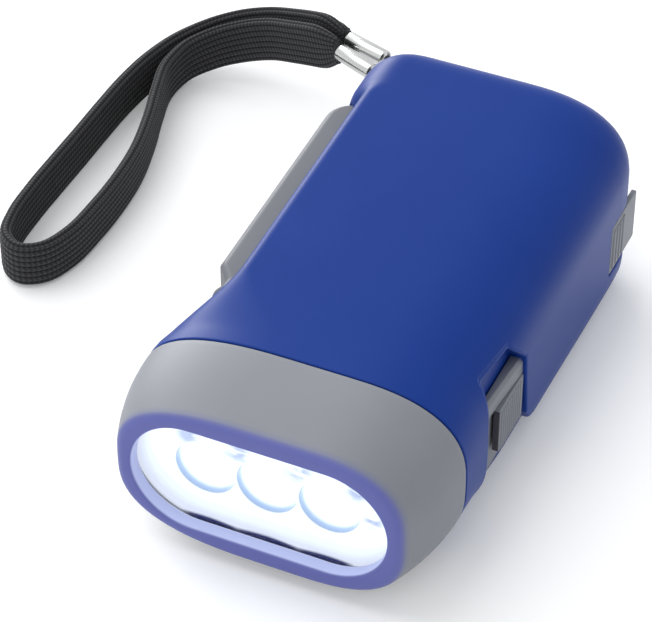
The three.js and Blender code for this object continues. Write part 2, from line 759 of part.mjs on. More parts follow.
function toothedArc() {
  const pitch = (2 * Math.PI) / sectorTeeth;
  const contact = THREE.MathUtils.degToRad(sectorContactAngle);
  const root = pitchRadius(sectorTeeth) - gearModule * dedendumShare;
  const inner = root - sectorRim;
  const end = THREE.MathUtils.degToRad(sectorEndAngle);
  const count = sectorLastTooth - sectorFirstTooth + 1;
  const teeth = Array.from({ length: count }, (_, i) =>
    toothPoints(sectorTeeth, contact + (sectorFirstTooth + i) * pitch)).flat();
  const start = contact + (sectorFirstTooth - 1 / 2) * pitch;
  const lastTooth = contact + (sectorLastTooth + 1 / 2) * pitch;
  const at = (radius, angle) => [radius * Math.cos(angle), radius * Math.sin(angle)];
  const plain = steps(lastTooth, end, 6).map((angle) => at(root, angle));
  const back = steps(end, start, 14).map((angle) => at(inner, angle));
  const points = [at(root, start), ...teeth, ...plain, ...back];
  return prism(points.map(([x, y]) => [x + leverPinX, y + leverPinY]), sectorZ, sectorZ + sectorThickness);
}

const leverPin = () =>
  rod(leverPinRadius, ...leverPivot,
    wall + leverPinCover + gap, topWallZ(leverPinY) - leverPinCover - gap);

// A torsion spring on the lever's pin
function leverSpring() {
  const radius = leverPinRadius + gap + springWireRadius;
  const pitch = springWireRadius + springWireRadius + gap;
  const height = springCoils * pitch;
  const startZ = leverMiddleZ - height / 2;
  const coil = steps(0, springCoils, springCoils * turnSteps).map((turn) => {
    const [dx, dy] = polar(radius, turn * 360);
    return new THREE.Vector3(leverPinX + dx, leverPinY + dy, startZ + turn * pitch);
  });
  const leg = coil[coil.length - 1].clone().add(new THREE.Vector3(0, springLegLength, 0));
  const curve = new THREE.CatmullRomCurve3([...coil, leg]);
  return tube(curve, springWireRadius, wireSides, springCoils * turnSteps + legSteps);
}

// Gears on their axles
const axleTop = plateZ + plateThickness - gap;
const bored = (shape, axis) => cut(shape, rod(axleRadius + gap, ...axis, -overrun, tailTopZ));

const driveGear = () => bored(add(
  wheel(pinionTeeth, driveAxis, gapAngle(sectorContactAngle, pinionTeeth), sectorZ - gap, driveZ),
  wheel(driveTeeth, driveAxis, secondAngle, driveZ, driveZ + gearFaceWidth),
  rod(hubRadius, ...driveAxis, driveZ, plateZ - gap),
), driveAxis);

const secondGear = () => bored(add(
  rod(hubRadius, ...secondAxis, wall + wall + gap, driveZ),
  wheel(pinionTeeth, secondAxis, gapAngle(secondAngle, pinionTeeth), driveZ - gap, secondZ),
  wheel(secondTeeth, secondAxis, rotorAngle, secondZ, secondZ + gearFaceWidth),
  rod(hubRadius, ...secondAxis, secondZ, plateZ - gap),
), secondAxis);

const flywheelZ = magnetZ + magnetHeight + gap;
const rotorPinion = () => bored(add(
  rod(hubRadius, ...rotorAxis, wall + wall + gap, secondZ),
  wheel(pinionTeeth, rotorAxis, gapAngle(rotorAngle, pinionTeeth), secondZ - gap, plateZ - gap),
), rotorAxis);

const ringOnRotor = (radius, z0, z1) => cut(
  rod(radius, ...rotorAxis, z0, z1, ringSides),
  rod(hubRadius + gap, ...rotorAxis, z0 - overrun, z1 + overrun),
);

const axle = (axis) => rod(axleRadius, ...axis, wall + gap, axleTop, boltSides);

// Generator core: two curved poles joined by a bar that carries the winding
function statorCore() {
  const inner = magnetRadius + poleGap;
  const outer = inner + poleWidth;
  const z1 = coreZ + coreHeight;
  const [x, y] = rotorAxis;
  const yokeY = y - yokeDrop;
  const cutBottom = coreZ - overrun;
  const cutTop = z1 + overrun;
  const ring = cut(
    rod(outer, x, y, coreZ, z1, poleSides),
    rod(inner, x, y, cutBottom, cutTop, poleSides),
  );
  const [openX, openY] = polar(outer + outer, poleOpeningAngle);
  const upper = prism([[x, y], [x + openX, y + openY], [x - openX, y + openY]], cutBottom, cutTop);
  const lower = prism([[x, y], [x - openX, y - openY], [x + openX, y - openY]], cutBottom, cutTop);
  const arms = [-1, 1].map((side) => {
    const xs = [x + side * inner, x + side * outer].sort((a, b) => a - b);
    return box(xs[0], xs[1], yokeY, y, coreZ, z1);
  });
  const bar = box(x - outer, x + outer, yokeY, yokeY + poleWidth, coreZ, z1);
  return add(cut(ring, upper, lower), ...arms, bar);
}

function generatorCoil() {
  const [x, y] = rotorAxis;
  const bore = Math.hypot(poleWidth, coreHeight) / 2 + gap;
  const half = coilLength / 2;
  const profile = [[bore, -half], [coilRadius, -half], [coilRadius, half], [bore, half], [bore, -half]];
  return lathePiece(profile, ringSides, (geometry) => {
    geometry.rotateZ(Math.PI / 2);
    geometry.translate(x, y - yokeDrop + poleWidth / 2, coreZ + coreHeight / 2);
  });
}

// Plate over the gears, held by three screws
function gearPlate() {
  const spots = [...posts, driveAxis, secondAxis, rotorAxis];
  const discs = spots.map(([x, y]) => rod(plateRim, x, y, plateZ, plateZ + plateThickness, boltSides));
  const strut = (a, b) => {
    const length = Math.hypot(b[0] - a[0], b[1] - a[1]);
    const [nx, ny] = [(-(b[1] - a[1]) / length) * plateRim, ((b[0] - a[0]) / length) * plateRim];
    const [ax, ay] = a;
    const [bx, by] = b;
    const points = [[ax - nx, ay - ny], [bx - nx, by - ny], [bx + nx, by + ny], [ax + nx, ay + ny]];
    return prism(points, plateZ, plateZ + plateThickness);
  };
  const struts = [
    [posts[0], driveAxis], [driveAxis, secondAxis], [secondAxis, rotorAxis], [rotorAxis, posts[1]],
    [posts[2], secondAxis], [posts[0], posts[1]], [posts[2], rotorAxis],
  ].map(([a, b]) => strut(a, b));
  const pads = boardPads().map(([x, y]) =>
    rod(boardPadRadius, x, y, plateZ, plateZ + plateThickness + boardLift - gap, boltSides));
  const hole = (radius, [x, y]) =>
    rod(radius + gap, x, y, plateZ - overrun, plateZ + plateThickness + overrun);
  const holes = [
    ...posts.map((spot) => hole(screwRadius, spot)),
    ...[driveAxis, secondAxis, rotorAxis].map((axis) => hole(axleRadius, axis)),
  ];
  return cut(add(...discs, ...struts, ...pads), ...holes);
}

const between = (a, b, t) => [mix(a[0], b[0], t), mix(a[1], b[1], t)];
const boardPads = () => [between(rotorAxis, posts[1], 1 / 2), between(posts[2], secondAxis, 1 / 2)];

function plateScrew([x, y]) {
  const top = plateZ + plateThickness + gap;
  return add(
    rod(screwRadius, x, y, plateZ - plateScrewDepth, top + screwHeadHeight / 2, boltSides),
    rod(screwHeadRadius, x, y, top, top + screwHeadHeight, pinSides),
  );
}

function circuitBoard() {
  const z = plateZ + plateThickness + boardLift;
  const [[ax, ay], [bx, by]] = boardPads();
  const x0 = (ax + bx - boardWidth) / 2;
  const y0 = (ay + by - boardLength) / 2;
  return box(x0, x0 + boardWidth, y0, y0 + boardLength, z, z + boardThickness);
}

// Button cells in their cup
const holderZ = wall + gap;
const cellZ = (i) => holderZ + holderWall + gap + i * (cellThickness + gap);
const cell = (i) => rod(cellRadius, cellX, cellY, cellZ(i), cellZ(i) + cellThickness, ringSides);
const cellHolder = () => cut(
  rod(cellRadius + gap + holderWall, cellX, cellY, holderZ, holderZ + holderHeight, ringSides),
  rod(cellRadius + gap, cellX, cellY, holderZ + holderWall, holderZ + holderHeight + overrun, ringSides),
);

// Light switch
const switchPlateX = switchFloorX + gap;
function switchPlate() {
  const outerX = switchPlateX + switchPlateThickness;
  const top = switchPlateTopZ - headAxisZ;
  const bottom = switchPlateBottomZ - headAxisZ;
  const plate = prismY([
    [switchPlateX, bottom], [outerX, bottom], [outerX, top - switchPlateBevel],
    [outerX - switchPlateThickness / 2, top], [switchPlateX, top],
  ], switchPlateY, switchRearY - gap);
  const slot = box(switchFloorX, seamWidth, stemY - knobTravel - gap, stemY + stemLength + gap,
    knobMiddleZ - stemHeight / 2 - gap, knobMiddleZ + stemHeight / 2 + gap);
  return cut(plate, slot);
}

// A thumb pad with upright ribs along the front share of its outer face
function ribbedPad(x0, thickness, y0, length, z0, height, ribs, ribDepth, share) {
  const x1 = x0 + thickness - ribDepth;
  const pitch = (length * share) / (2 * ribs + 1);
  const bars = Array.from({ length: ribs }, (_, i) =>
    box(x1 - ribDepth, x1 + ribDepth, y0 + (2 * i + 1) * pitch, y0 + (2 * i + 2) * pitch,
      z0 + pitch, z0 + height - pitch));
  return add(box(x0, x1, y0, y0 + length, z0, z0 + height), ...bars);
}

const knobX = switchPlateX + switchPlateThickness + gap;
const switchUnitX = switchFloorX - wall - gap;
const switchKnob = () => add(
  ribbedPad(knobX, knobThickness, knobRearY - knobLength, knobLength, knobBottomZ, knobHeight,
    knobRibs, knobRibDepth, 1),
  box(switchUnitX + gap, knobX + knobRibDepth, stemY, stemY + stemLength,
    knobMiddleZ - stemHeight / 2, knobMiddleZ + stemHeight / 2),
);

function switchUnit() {
  const end = knobRearY + gap;
  return box(switchUnitX - switchUnitDepth, switchUnitX, end - switchUnitLength, end,
    knobMiddleZ - switchUnitHeight / 2, knobMiddleZ + switchUnitHeight / 2);
}

// Lever lock: the pad outside, a bar across the case and a hook in front of the lever's catch
function lockSlider() {
  const padX = lockFloorX + gap;
  const level = (x0, x1, y0, y1) => box(x0, x1, y0, y1, lockBarZ, lockBarZ + lockBarHeight);
  const barEnd = lockBarY + lockBarWidth;
  const hookEnd = lockHookY + lockHookWidth;
  return add(
    ribbedPad(padX, lockThickness, lockY, lockLength, lockBottomZ, lockHeight,
      lockRibs, lockRibDepth, lockRibbedShare),
    level(lockArmX - lockArmWidth, padX + lockRibDepth, lockBarY, barEnd),
    level(lockArmX - lockArmWidth, lockArmX, lockHookY, barEnd),
    level(lockFingerX, lockArmX, lockHookY, hookEnd),
    level(lockFingerX, lockFingerX + lockFingerWidth, lockHookY, hookEnd + lockFingerLength),
  );
}

const eyePost = () => rod(eyePostRadius, eyeX, caseLength - eyePostInset,
  eyeCentreZ - eyeHeight / 2 - eyeWall + gap + gap, eyeCentreZ + eyeHeight / 2 + eyeWall - gap - gap);

const caseScrew = ([x, y]) => add(
  rod(screwHeadRadius, x, y, headZ(y), headZ(y) + screwHeadHeight, pinSides),
  rod(screwRadius, x, y, headZ(y) + screwHeadHeight / 2, screwTopZ, boltSides),
);

// Strap pieces
const curveThrough = (points) =>
  new THREE.CatmullRomCurve3(points.map((point) => new THREE.Vector3(...point)), false, 'centripetal');

// The band stays on edge, so its rings are turned by hand about the upright axis
function strapBand() {
  const curve = curveThrough(bandPoints);
  const rings = steps(0, 1, bandSteps).map((t) => {
    const centre = curve.getPointAt(t);
    const tangent = curve.getTangentAt(t);
    const side = new THREE.Vector3(tangent.y, -tangent.x, 0).normalize();
    const up = new THREE.Vector3().crossVectors(side, tangent).normalize();
    const fromEnd = Math.min(t, 1 - t) * bandSteps;
    const taper = Math.min(1, ferruleRadius / bandWidth + fromEnd / bandTaperSteps);
    return Array.from({ length: bandSides }, (_, i) => {
      const [c, s] = polar(1, ((i + 1 / 2) * 360) / bandSides);
      const across = (c * bandThickness) / 2;
      const high = Math.sign(s) * Math.abs(s) ** (1 / 2) * (bandWidth / 2) * taper;
      return centre.clone().addScaledVector(side, across).addScaledVector(up, high).toArray();
    });
  });
  return loft(rings);
}

function tube(curve, radius, sides, count) {
  const section = new THREE.Shape(
    Array.from({ length: sides }, (_, i) => new THREE.Vector2(...polar(radius, (i * 360) / sides))));
  return new THREE.ExtrudeGeometry(section, { steps: count, bevelEnabled: false, extrudePath: curve });
}

// Each crimped tube fills the space from the band's end to the cord's end
function ferrule(bandEnd, cordEnd) {
  const from = new THREE.Vector3(...bandEnd);
  const to = new THREE.Vector3(...cordEnd);
  const along = to.clone().sub(from);
  const length = along.length() - gap - gap;
  const geometry = new THREE.CylinderGeometry(ferruleRadius, ferruleRadius, length, pinSides);
  geometry.applyQuaternion(new THREE.Quaternion().setFromUnitVectors(
    new THREE.Vector3(0, 1, 0), along.normalize()));
  const middle = from.add(to).multiplyScalar(1 / 2);
  geometry.translate(middle.x, middle.y, middle.z);
  return geometry;
}

// Nodes
const frame = new THREE.Group();
frame.position.y = -caseLength / 2;

function node(name, shape, color, roughness, metalness = 0) {
  const geometry = shape.isBufferGeometry ? shape : surface(shape);
  const mesh = new THREE.Mesh(geometry, new THREE.MeshStandardMaterial({ color, roughness, metalness }));
  mesh.name = name;
  frame.add(mesh);
}

node('top_shell', body.intersect(above), blue, 0.42);
node('bottom_shell', add(body.intersect(below), ...floorPieces()), blue, 0.42);
node('bezel', bezel(), grey, 0.5);
node('lens', prismY(stadium(lensWidth, lensHeight), lensY, lensY + lensThickness), clear, 0.05);
node('reflector', reflector(), chrome, 0.08, 1);
for (let i = 0; i < lampCount; i += 1) {
  node(`led_${i + 1}`, lamp(i), clear, 0.1);
}
node('led_board', lampBoard(), boardGreen, 0.5);
node('lever', lever(), grey, 0.5);
node('lever_pin', leverPin(), steel, 0.3, 1);
node('lever_spring', leverSpring(), steel, 0.3, 1);
node('drive_gear', driveGear(), gearWhite, 0.5);
node('second_gear', secondGear(), gearWhite, 0.5);
node('rotor_pinion', rotorPinion(), gearWhite, 0.5);
node('flywheel', ringOnRotor(flywheelRadius, flywheelZ, flywheelZ + flywheelThickness), darkGrey, 0.5);
node('rotor_magnet', ringOnRotor(magnetRadius, magnetZ, magnetZ + magnetHeight), darkGrey, 0.6);
node('drive_axle', axle(driveAxis), steel, 0.3, 1);
node('second_axle', axle(secondAxis), steel, 0.3, 1);
node('rotor_axle', axle(rotorAxis), steel, 0.3, 1);
node('stator_core', statorCore(), steel, 0.45, 1);
node('generator_coil', generatorCoil(), copper, 0.4, 1);
node('gear_plate', gearPlate(), darkGrey, 0.5);
posts.forEach((spot, i) => node(`plate_screw_${i + 1}`, plateScrew(spot), steel, 0.3, 1));
node('circuit_board', circuitBoard(), boardGreen, 0.5);
node('cell_holder', cellHolder(), darkGrey, 0.5);
for (let i = 0; i < cellCount; i += 1) {
  node(`button_cell_${i + 1}`, cell(i), steel, 0.25, 1);
}
node('switch_plate', switchPlate(), grey, 0.5);
node('switch_unit', switchUnit(), darkGrey, 0.5);
node('switch_knob', switchKnob(), grey, 0.5);
node('lock_slider', lockSlider(), grey, 0.5);
node('strap_post', eyePost(), steel, 0.3, 1);
caseScrews.forEach((spot, i) => node(`case_screw_${i + 1}`, caseScrew(spot), steel, 0.3, 1));
node('strap_band', strapBand(), webbing, 0.9);
node('strap_cord', tube(curveThrough(cordPoints), cordRadius, cordSides, cordSteps), webbing, 0.9);
node('ferrule_1', ferrule(bandPoints[0], cordPoints[0]), steel, 0.25, 1);
node('ferrule_2', ferrule(bandPoints.at(-1), cordPoints.at(-1)), steel, 0.25, 1);

const torch = new THREE.Group();
torch.add(frame);

export default torch;
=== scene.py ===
# %% [markdown]
# A palm-sized torch that makes its own power. The hand squeezes a grey lever on the left, a gear
# train spins a flywheel generator, and three lamps light behind a clear window. This script dresses
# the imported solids: it builds finer pieces over them and gives every surface its material.
#
# All sizes are in millimetres, with y counted from the front rim, as on a maker's drawing. One
# function turns them into the frame's metres.

# %% Set up
import math

import bmesh
import bpy
import numpy as np
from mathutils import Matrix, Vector
from mathutils.bvhtree import BVHTree


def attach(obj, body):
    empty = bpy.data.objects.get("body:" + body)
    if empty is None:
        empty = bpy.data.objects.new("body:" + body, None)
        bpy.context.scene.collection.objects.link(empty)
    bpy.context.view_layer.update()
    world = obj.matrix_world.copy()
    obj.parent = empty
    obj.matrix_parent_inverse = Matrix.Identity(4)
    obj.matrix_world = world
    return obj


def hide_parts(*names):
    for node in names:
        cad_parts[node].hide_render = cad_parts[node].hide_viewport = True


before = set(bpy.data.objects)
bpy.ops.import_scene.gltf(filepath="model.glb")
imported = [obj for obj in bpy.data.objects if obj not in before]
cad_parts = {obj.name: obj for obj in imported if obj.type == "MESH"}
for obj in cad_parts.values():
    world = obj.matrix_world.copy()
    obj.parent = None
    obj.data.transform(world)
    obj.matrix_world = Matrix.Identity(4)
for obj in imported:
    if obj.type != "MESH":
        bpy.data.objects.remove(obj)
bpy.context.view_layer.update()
case_length = 105.0


def row(point):
    """A drawing point in millimetres as a point of the frame in metres."""
    x, y, z = point
    return (x / 1000, (y - case_length / 2) / 1000, z / 1000)


# %% [markdown]
# The camera stands to the right of the lamps and looks down on them with a long lens. It could be set
# by eye, but a fit by numbers holds for every edge at once. So its place was fitted to the outline,
# the opening and the seam. The standard view shows each colour about as it is written.

# %% Camera
camera = bpy.data.objects.new("camera", bpy.data.cameras.new("camera"))
bpy.context.scene.collection.objects.link(camera)
camera.location = (0.14805, -0.35, 0.34475)
camera.rotation_euler = (math.radians(90 - 40.72), 0, math.radians(24.48))
camera.data.lens = 156.8
camera.data.sensor_width = 36
camera.data.clip_end = 10
bpy.context.scene.camera = camera
bpy.context.scene.view_settings.view_transform = "Standard"

# %% [markdown]
# Moulded pieces change their section all along their length. They could be pulled into shape by hand
# from a box. Here most of them are skins stretched through a row of outlines, because that keeps
# every size in plain numbers. A finished mesh is turned faces outward, and edges sharper than a set
# angle stay sharp.


# %% Meshes from outlines
def new_object(name, points, faces):
    """A mesh object from drawing points and faces, faces outward."""
    mesh = bpy.data.meshes.new(name)
    mesh.from_pydata([row(point) for point in points], [], faces)
    shape = bmesh.new()
    shape.from_mesh(mesh)
    bmesh.ops.remove_doubles(shape, verts=shape.verts, dist=1e-7)
    bmesh.ops.recalc_face_normals(shape, faces=shape.faces)
    shape.to_mesh(mesh)
    shape.free()
    made = bpy.data.objects.new(name, mesh)
    bpy.context.scene.collection.objects.link(made)
    return made


def soften(made, degrees):
    """Smooth shading, with the edges above the angle kept sharp."""
    made.data.shade_smooth()
    made.data.set_sharp_from_angle(angle=math.radians(degrees))
    return made


def skin(rings, closed=False):
    """Points and faces through rings of equal length. A closed skin joins last to first."""
    count = len(rings[0])
    points = [point for ring in rings for point in ring]
    faces = []
    for i in range(len(rings) if closed else len(rings) - 1):
        k = (i + 1) % len(rings)
        for j in range(count):
            n = (j + 1) % count
            faces.append((i * count + j, k * count + j, k * count + n, i * count + n))
    if not closed:
        faces.append(tuple(range(count)))
        faces.append(tuple(range(len(points) - count, len(points))))
    return points, faces


# %% [markdown]
# Pockets, slots and holes are cut with simple bodies: a block, an upright rod, or a prism with any
# outline. Each one is again a skin, through two outlines only.


# %% Cutting bodies
def block(x0, x1, y0, y1, z0, z1):
    """A cutting block."""
    rings = [[(x, y0, z0), (x, y1, z0), (x, y1, z1), (x, y0, z1)] for x in (x0, x1)]
    return new_object("cutter", *skin(rings))


def rod(radius, x, y, z0, z1, sides=48):
    """An upright cutting rod."""
    turns = [2 * math.pi * i / sides for i in range(sides)]
    rings = [[(x + radius * math.cos(a), y + radius * math.sin(a), z) for a in turns] for z in (z0, z1)]
    return new_object("cutter", *skin(rings))


def prism(outline, axis, start, end):
    """A prism whose outline lies across the axis: (y, z) along x, (x, z) along y, (x, y) along z."""
    rings = []
    for level in (start, end):
        ring = []
        for point in outline:
            spot = list(point)
            spot.insert("xyz".index(axis), level)
            ring.append(tuple(spot))
        rings.append(ring)
    return new_object("cutter", *skin(rings))


# %% [markdown]
# The cutting is done by Boolean modifiers in a row, because they leave clean flat floors and sharp
# corners, as a milled mould does. The result is taken as a plain mesh, so nothing stays live. A
# finished piece is put on the body that it moves with, and hides the solid that it stands for.


# %% Cutting and finishing
def carved(name, base, steps):
    """base after each (operation, cutter) step, as one plain mesh. The cutters are used up."""
    for operation, cutter in steps:
        modifier = base.modifiers.new("carve", "BOOLEAN")
        modifier.operation = operation
        modifier.object = cutter
        modifier.solver = "MANIFOLD"
    bpy.context.view_layer.update()
    graph = bpy.context.evaluated_depsgraph_get()
    mesh = bpy.data.meshes.new_from_object(base.evaluated_get(graph))
    mesh.name = name
    made = bpy.data.objects.new(name, mesh)
    bpy.context.scene.collection.objects.link(made)
    for used in [base] + [cutter for _, cutter in steps]:
        bpy.data.objects.remove(used)
    return made


def joined(name, parts):
    """Several mesh objects as one object."""
    shape = bmesh.new()
    for part in parts:
        shape.from_mesh(part.data)
        bpy.data.objects.remove(part)
    mesh = bpy.data.meshes.new(name)
    shape.to_mesh(mesh)
    shape.free()
    made = bpy.data.objects.new(name, mesh)
    bpy.context.scene.collection.objects.link(made)
    return made


def finish_piece(made, body, slot, *nodes):
    """Puts a finished piece on its body and hides the solids it stands for. The slot is not used."""
    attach(made, body)
    if nodes:
        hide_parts(*nodes)
    print(made.name, "has", len(made.data.polygons), "faces and rides on", body)
    return made


# %% [markdown]
# The strap follows a smooth line through points read from the photograph. A Blender curve could
# carry it, but its points crowd where it bends, and stitches need an even pace. So each stretch is
# a centripetal Catmull-Rom curve, and the points along it are then spaced evenly by length.


# %% Even points along a route
def even_route(points, count):
    """count + 1 points at equal distances along the smooth curve through points."""
    knots = [np.array(point, float) for point in points]
    knots = [2 * knots[0] - knots[1]] + knots + [2 * knots[-1] - knots[-2]]
    fine = []
    for a, b, c, d in zip(knots, knots[1:], knots[2:], knots[3:]):
        t1 = np.linalg.norm(b - a) ** 0.5
        t2 = t1 + np.linalg.norm(c - b) ** 0.5
        t3 = t2 + np.linalg.norm(d - c) ** 0.5
        for t in np.linspace(t1, t2, 24, endpoint=False):
            ab = (t1 - t) / t1 * a + t / t1 * b
            bc = (t2 - t) / (t2 - t1) * b + (t - t1) / (t2 - t1) * c
            cd = (t3 - t) / (t3 - t2) * c + (t - t2) / (t3 - t2) * d
            abc = (t2 - t) / t2 * ab + t / t2 * bc
            bcd = (t3 - t) / (t3 - t1) * bc + (t - t1) / (t3 - t1) * cd
            fine.append((t2 - t) / (t2 - t1) * abc + (t - t1) / (t2 - t1) * bcd)
    fine.append(knots[-2])
    fine = np.array(fine)
    run = np.concatenate([[0], np.cumsum(np.linalg.norm(np.diff(fine, axis=0), axis=1))])
    even = np.linspace(0, run[-1], count + 1)
    return np.stack([np.interp(even, run, fine[:, axis]) for axis in range(3)], axis=1), run[-1]


# %% [markdown]
# Every material is made from nodes. Moulded plastic isn't one even colour: the tool leaves a fine
# grain, the tone drifts a little over the piece, and handling polishes and pales the edges. One
# shared group gives the grain as a bump, the drift as a tone and the edges as a wear mask, and each
# material then mixes its own colours with them.


# %% Node helpers
def linear(red, green, blue):
    """A screen colour, 0 to 255, as the light values that a shader works with."""
    steps = [value / 255 for value in (red, green, blue)]
    return tuple(s / 12.92 if s <= 0.04045 else ((s + 0.055) / 1.055) ** 2.4 for s in steps) + (1.0,)


def add_node(tree, kind, **settings):
    """A node with its properties, and with input values by socket name."""
    node = tree.nodes.new(kind)
    for key, value in settings.items():
        if hasattr(node, key):
            setattr(node, key, value)
        else:
            node.inputs[key.replace("_", " ")].default_value = value
    return node


def wire(tree, source, target, first=0, second=0):
    """Joins an output of source to an input of target."""
    tree.links.new(source.outputs[first], target.inputs[second])


def math_node(tree, operation, second=None):
    """A math node, with its second value set if one is given."""
    node = add_node(tree, "ShaderNodeMath", operation=operation)
    if second is not None:
        node.inputs[1].default_value = second
    return node


# %% [markdown]
# The shared group reads only the shape and its own place. A fine noise gives the grain, a broad one
# the drift of tone. The wear is found by comparing the surface's normal with a rounded one: they
# differ only near an edge. A third noise breaks the worn line up, because handling is never even.


# %% Grain, tone and wear
def surface_group():
    """Grain, tone drift and edge wear, shared by all the hard materials."""
    tree = bpy.data.node_groups.new("surface", "ShaderNodeTree")
    face = tree.interface
    for name, value in (("Grain Size", 3000.0), ("Grain Depth", 0.1), ("Edge Width", 0.0003)):
        socket = face.new_socket(name=name, in_out="INPUT", socket_type="NodeSocketFloat")
        socket.default_value = value
    face.new_socket(name="Tone", in_out="OUTPUT", socket_type="NodeSocketFloat")
    face.new_socket(name="Wear", in_out="OUTPUT", socket_type="NodeSocketFloat")
    face.new_socket(name="Normal", in_out="OUTPUT", socket_type="NodeSocketVector")
    given = add_node(tree, "NodeGroupInput")
    result = add_node(tree, "NodeGroupOutput")
    place = add_node(tree, "ShaderNodeTexCoord")
    drift = add_node(tree, "ShaderNodeTexNoise", Scale=45.0, Detail=3.0)
    grain = add_node(tree, "ShaderNodeTexNoise", Detail=2.0)
    round_edge = add_node(tree, "ShaderNodeBevel", samples=4)
    shape = add_node(tree, "ShaderNodeNewGeometry")
    facing = add_node(tree, "ShaderNodeVectorMath", operation="DOT_PRODUCT")
    spread = add_node(tree, "ShaderNodeMapRange", From_Min=0.995, From_Max=0.88)
    scuff = add_node(tree, "ShaderNodeTexNoise", Scale=600.0, Detail=4.0)
    broken = math_node(tree, "MULTIPLY")
    bump = add_node(tree, "ShaderNodeBump", Distance=0.0001)
    for texture in (drift, grain, scuff):
        wire(tree, place, texture, "Object", "Vector")
    wire(tree, given, grain, "Grain Size", "Scale")
    wire(tree, given, round_edge, "Edge Width", "Radius")
    wire(tree, given, bump, "Grain Depth", "Strength")
    wire(tree, round_edge, facing, "Normal", 0)
    wire(tree, shape, facing, "Normal", 1)
    wire(tree, facing, spread, "Value", "Value")
    wire(tree, spread, broken, "Result", 0)
    wire(tree, scuff, broken, 0, 1)
    wire(tree, grain, bump, 0, "Height")
    wire(tree, round_edge, bump, "Normal", "Normal")
    wire(tree, drift, result, 0, "Tone")
    wire(tree, broken, result, 0, "Wear")
    wire(tree, bump, result, "Normal", "Normal")
    return tree


surface = surface_group()

# %% [markdown]
# Each hard material is the same recipe with other values: two tones mixed by the drift, a paler
# worn tone on the edges, and a roughness that drifts with the tone. Values that don't change over
# the surface are set on the shader itself.


# %% Two-tone material
def colour_mix(tree, second, first=None):
    """A colour mix with its second colour set, and the first too if one is given."""
    node = add_node(tree, "ShaderNodeMix", data_type="RGBA")
    node.inputs[7].default_value = linear(*second)
    if first:
        node.inputs[6].default_value = linear(*first)
    return node


def new_material(name, **fixed):
    """A material, its node tree and its shader, with values set on the shader itself."""
    material = bpy.data.materials.new(name)
    material.use_nodes = True
    shader = material.node_tree.nodes["Principled BSDF"]
    for key, value in fixed.items():
        shader.inputs[key.replace("_", " ")].default_value = value
    return material, material.node_tree, shader


def hard_material(name, dark, light, worn, rough=(0.4, 0.5), grain=(3000.0, 0.1), edge=0.0003, **fixed):
    """A material of two tones with worn edges. fixed holds values set on the shader itself."""
    material, tree, shader = new_material(name, **fixed)
    detail = add_node(tree, "ShaderNodeGroup", node_tree=surface)
    detail.inputs["Grain Size"].default_value = grain[0]
    detail.inputs["Grain Depth"].default_value = grain[1]
    detail.inputs["Edge Width"].default_value = edge
    tones = colour_mix(tree, light, dark)
    edges = colour_mix(tree, worn)
    gloss = add_node(tree, "ShaderNodeMapRange", To_Min=rough[0], To_Max=rough[1])
    wire(tree, detail, tones, "Tone", 0)
    wire(tree, detail, edges, "Wear", 0)
    wire(tree, tones, edges, 2, 6)
    wire(tree, edges, shader, 2, "Base Color")
    wire(tree, detail, gloss, "Tone", "Value")
    wire(tree, gloss, shader, "Result", "Roughness")
    wire(tree, detail, shader, "Normal", "Normal")
    return material


# %% [markdown]
# These are the finishes: the case's deep blue, the greys of bezel, lever and pads, a darker grey that
# paints shade on the pads' narrow sides, darker and paler plastics for the inside, and the metals.
# The tones are those that the photograph shows, so they are written as screen colours.

# %% Hard materials
grey_tones = (122, 125, 132), (136, 139, 146), (170, 173, 180)
grey_rough = (0.44, 0.54)
blue_plastic = hard_material("blue_plastic", (9, 48, 128), (16, 56, 138), (60, 92, 172),
                             rough=(0.34, 0.42), Specular_IOR_Level=0.14)
grey_plastic = hard_material("grey_plastic", *grey_tones, rough=grey_rough, Specular_IOR_Level=0.35)
lever_plastic = hard_material("lever_plastic", (98, 101, 107), (110, 113, 119), (150, 153, 160),
                              rough=grey_rough, Specular_IOR_Level=0.35)
# A darker copy of the grey that stands for the shade on the pads' narrow sides: painted shade.
painted_shade_plastic = hard_material("painted_shade_plastic", (64, 61, 69), (78, 75, 83), (104, 102, 110),
                               rough=(0.5, 0.6), Specular_IOR_Level=0.2)
dark_plastic = hard_material("dark_plastic", (38, 40, 44), (52, 55, 60), (92, 95, 100))
gear_plastic = hard_material("gear_plastic", (214, 208, 190), (232, 227, 212), (244, 241, 232))
board_green = hard_material("board_green", (30, 88, 52), (44, 112, 70), (120, 160, 120),
                            rough=(0.3, 0.45))
steel = hard_material("steel", (168, 171, 176), (196, 199, 203), (226, 228, 230), rough=(0.22, 0.36),
                      grain=(2600.0, 0.05), Metallic=1.0)
ferrite = hard_material("ferrite", (44, 44, 48), (60, 60, 64), (96, 96, 100), rough=(0.5, 0.65))
copper = hard_material("copper", (150, 82, 38), (186, 106, 52), (214, 150, 96), rough=(0.25, 0.4),
                       Metallic=1.0)
chrome = hard_material("chrome", (222, 224, 226), (240, 241, 243), (250, 250, 250), rough=(0.08, 0.2),
                       grain=(1500.0, 0.04), Metallic=1.0)
print("materials:", len(bpy.data.materials))

# %% [markdown]
# The wrist strap is a flat tube of black knit, pressed flat and stood on edge. The knit runs in
# lengthwise wales of small V stitches. Its wales are real ridges in the mesh, because they show on
# the outline, and the stitches are a bump that follows the band's own length and girth. The two ends
# shrink into metal tubes, from which a thin cord runs through the tail. First comes its way on the
# table, as points that were read from the photograph.

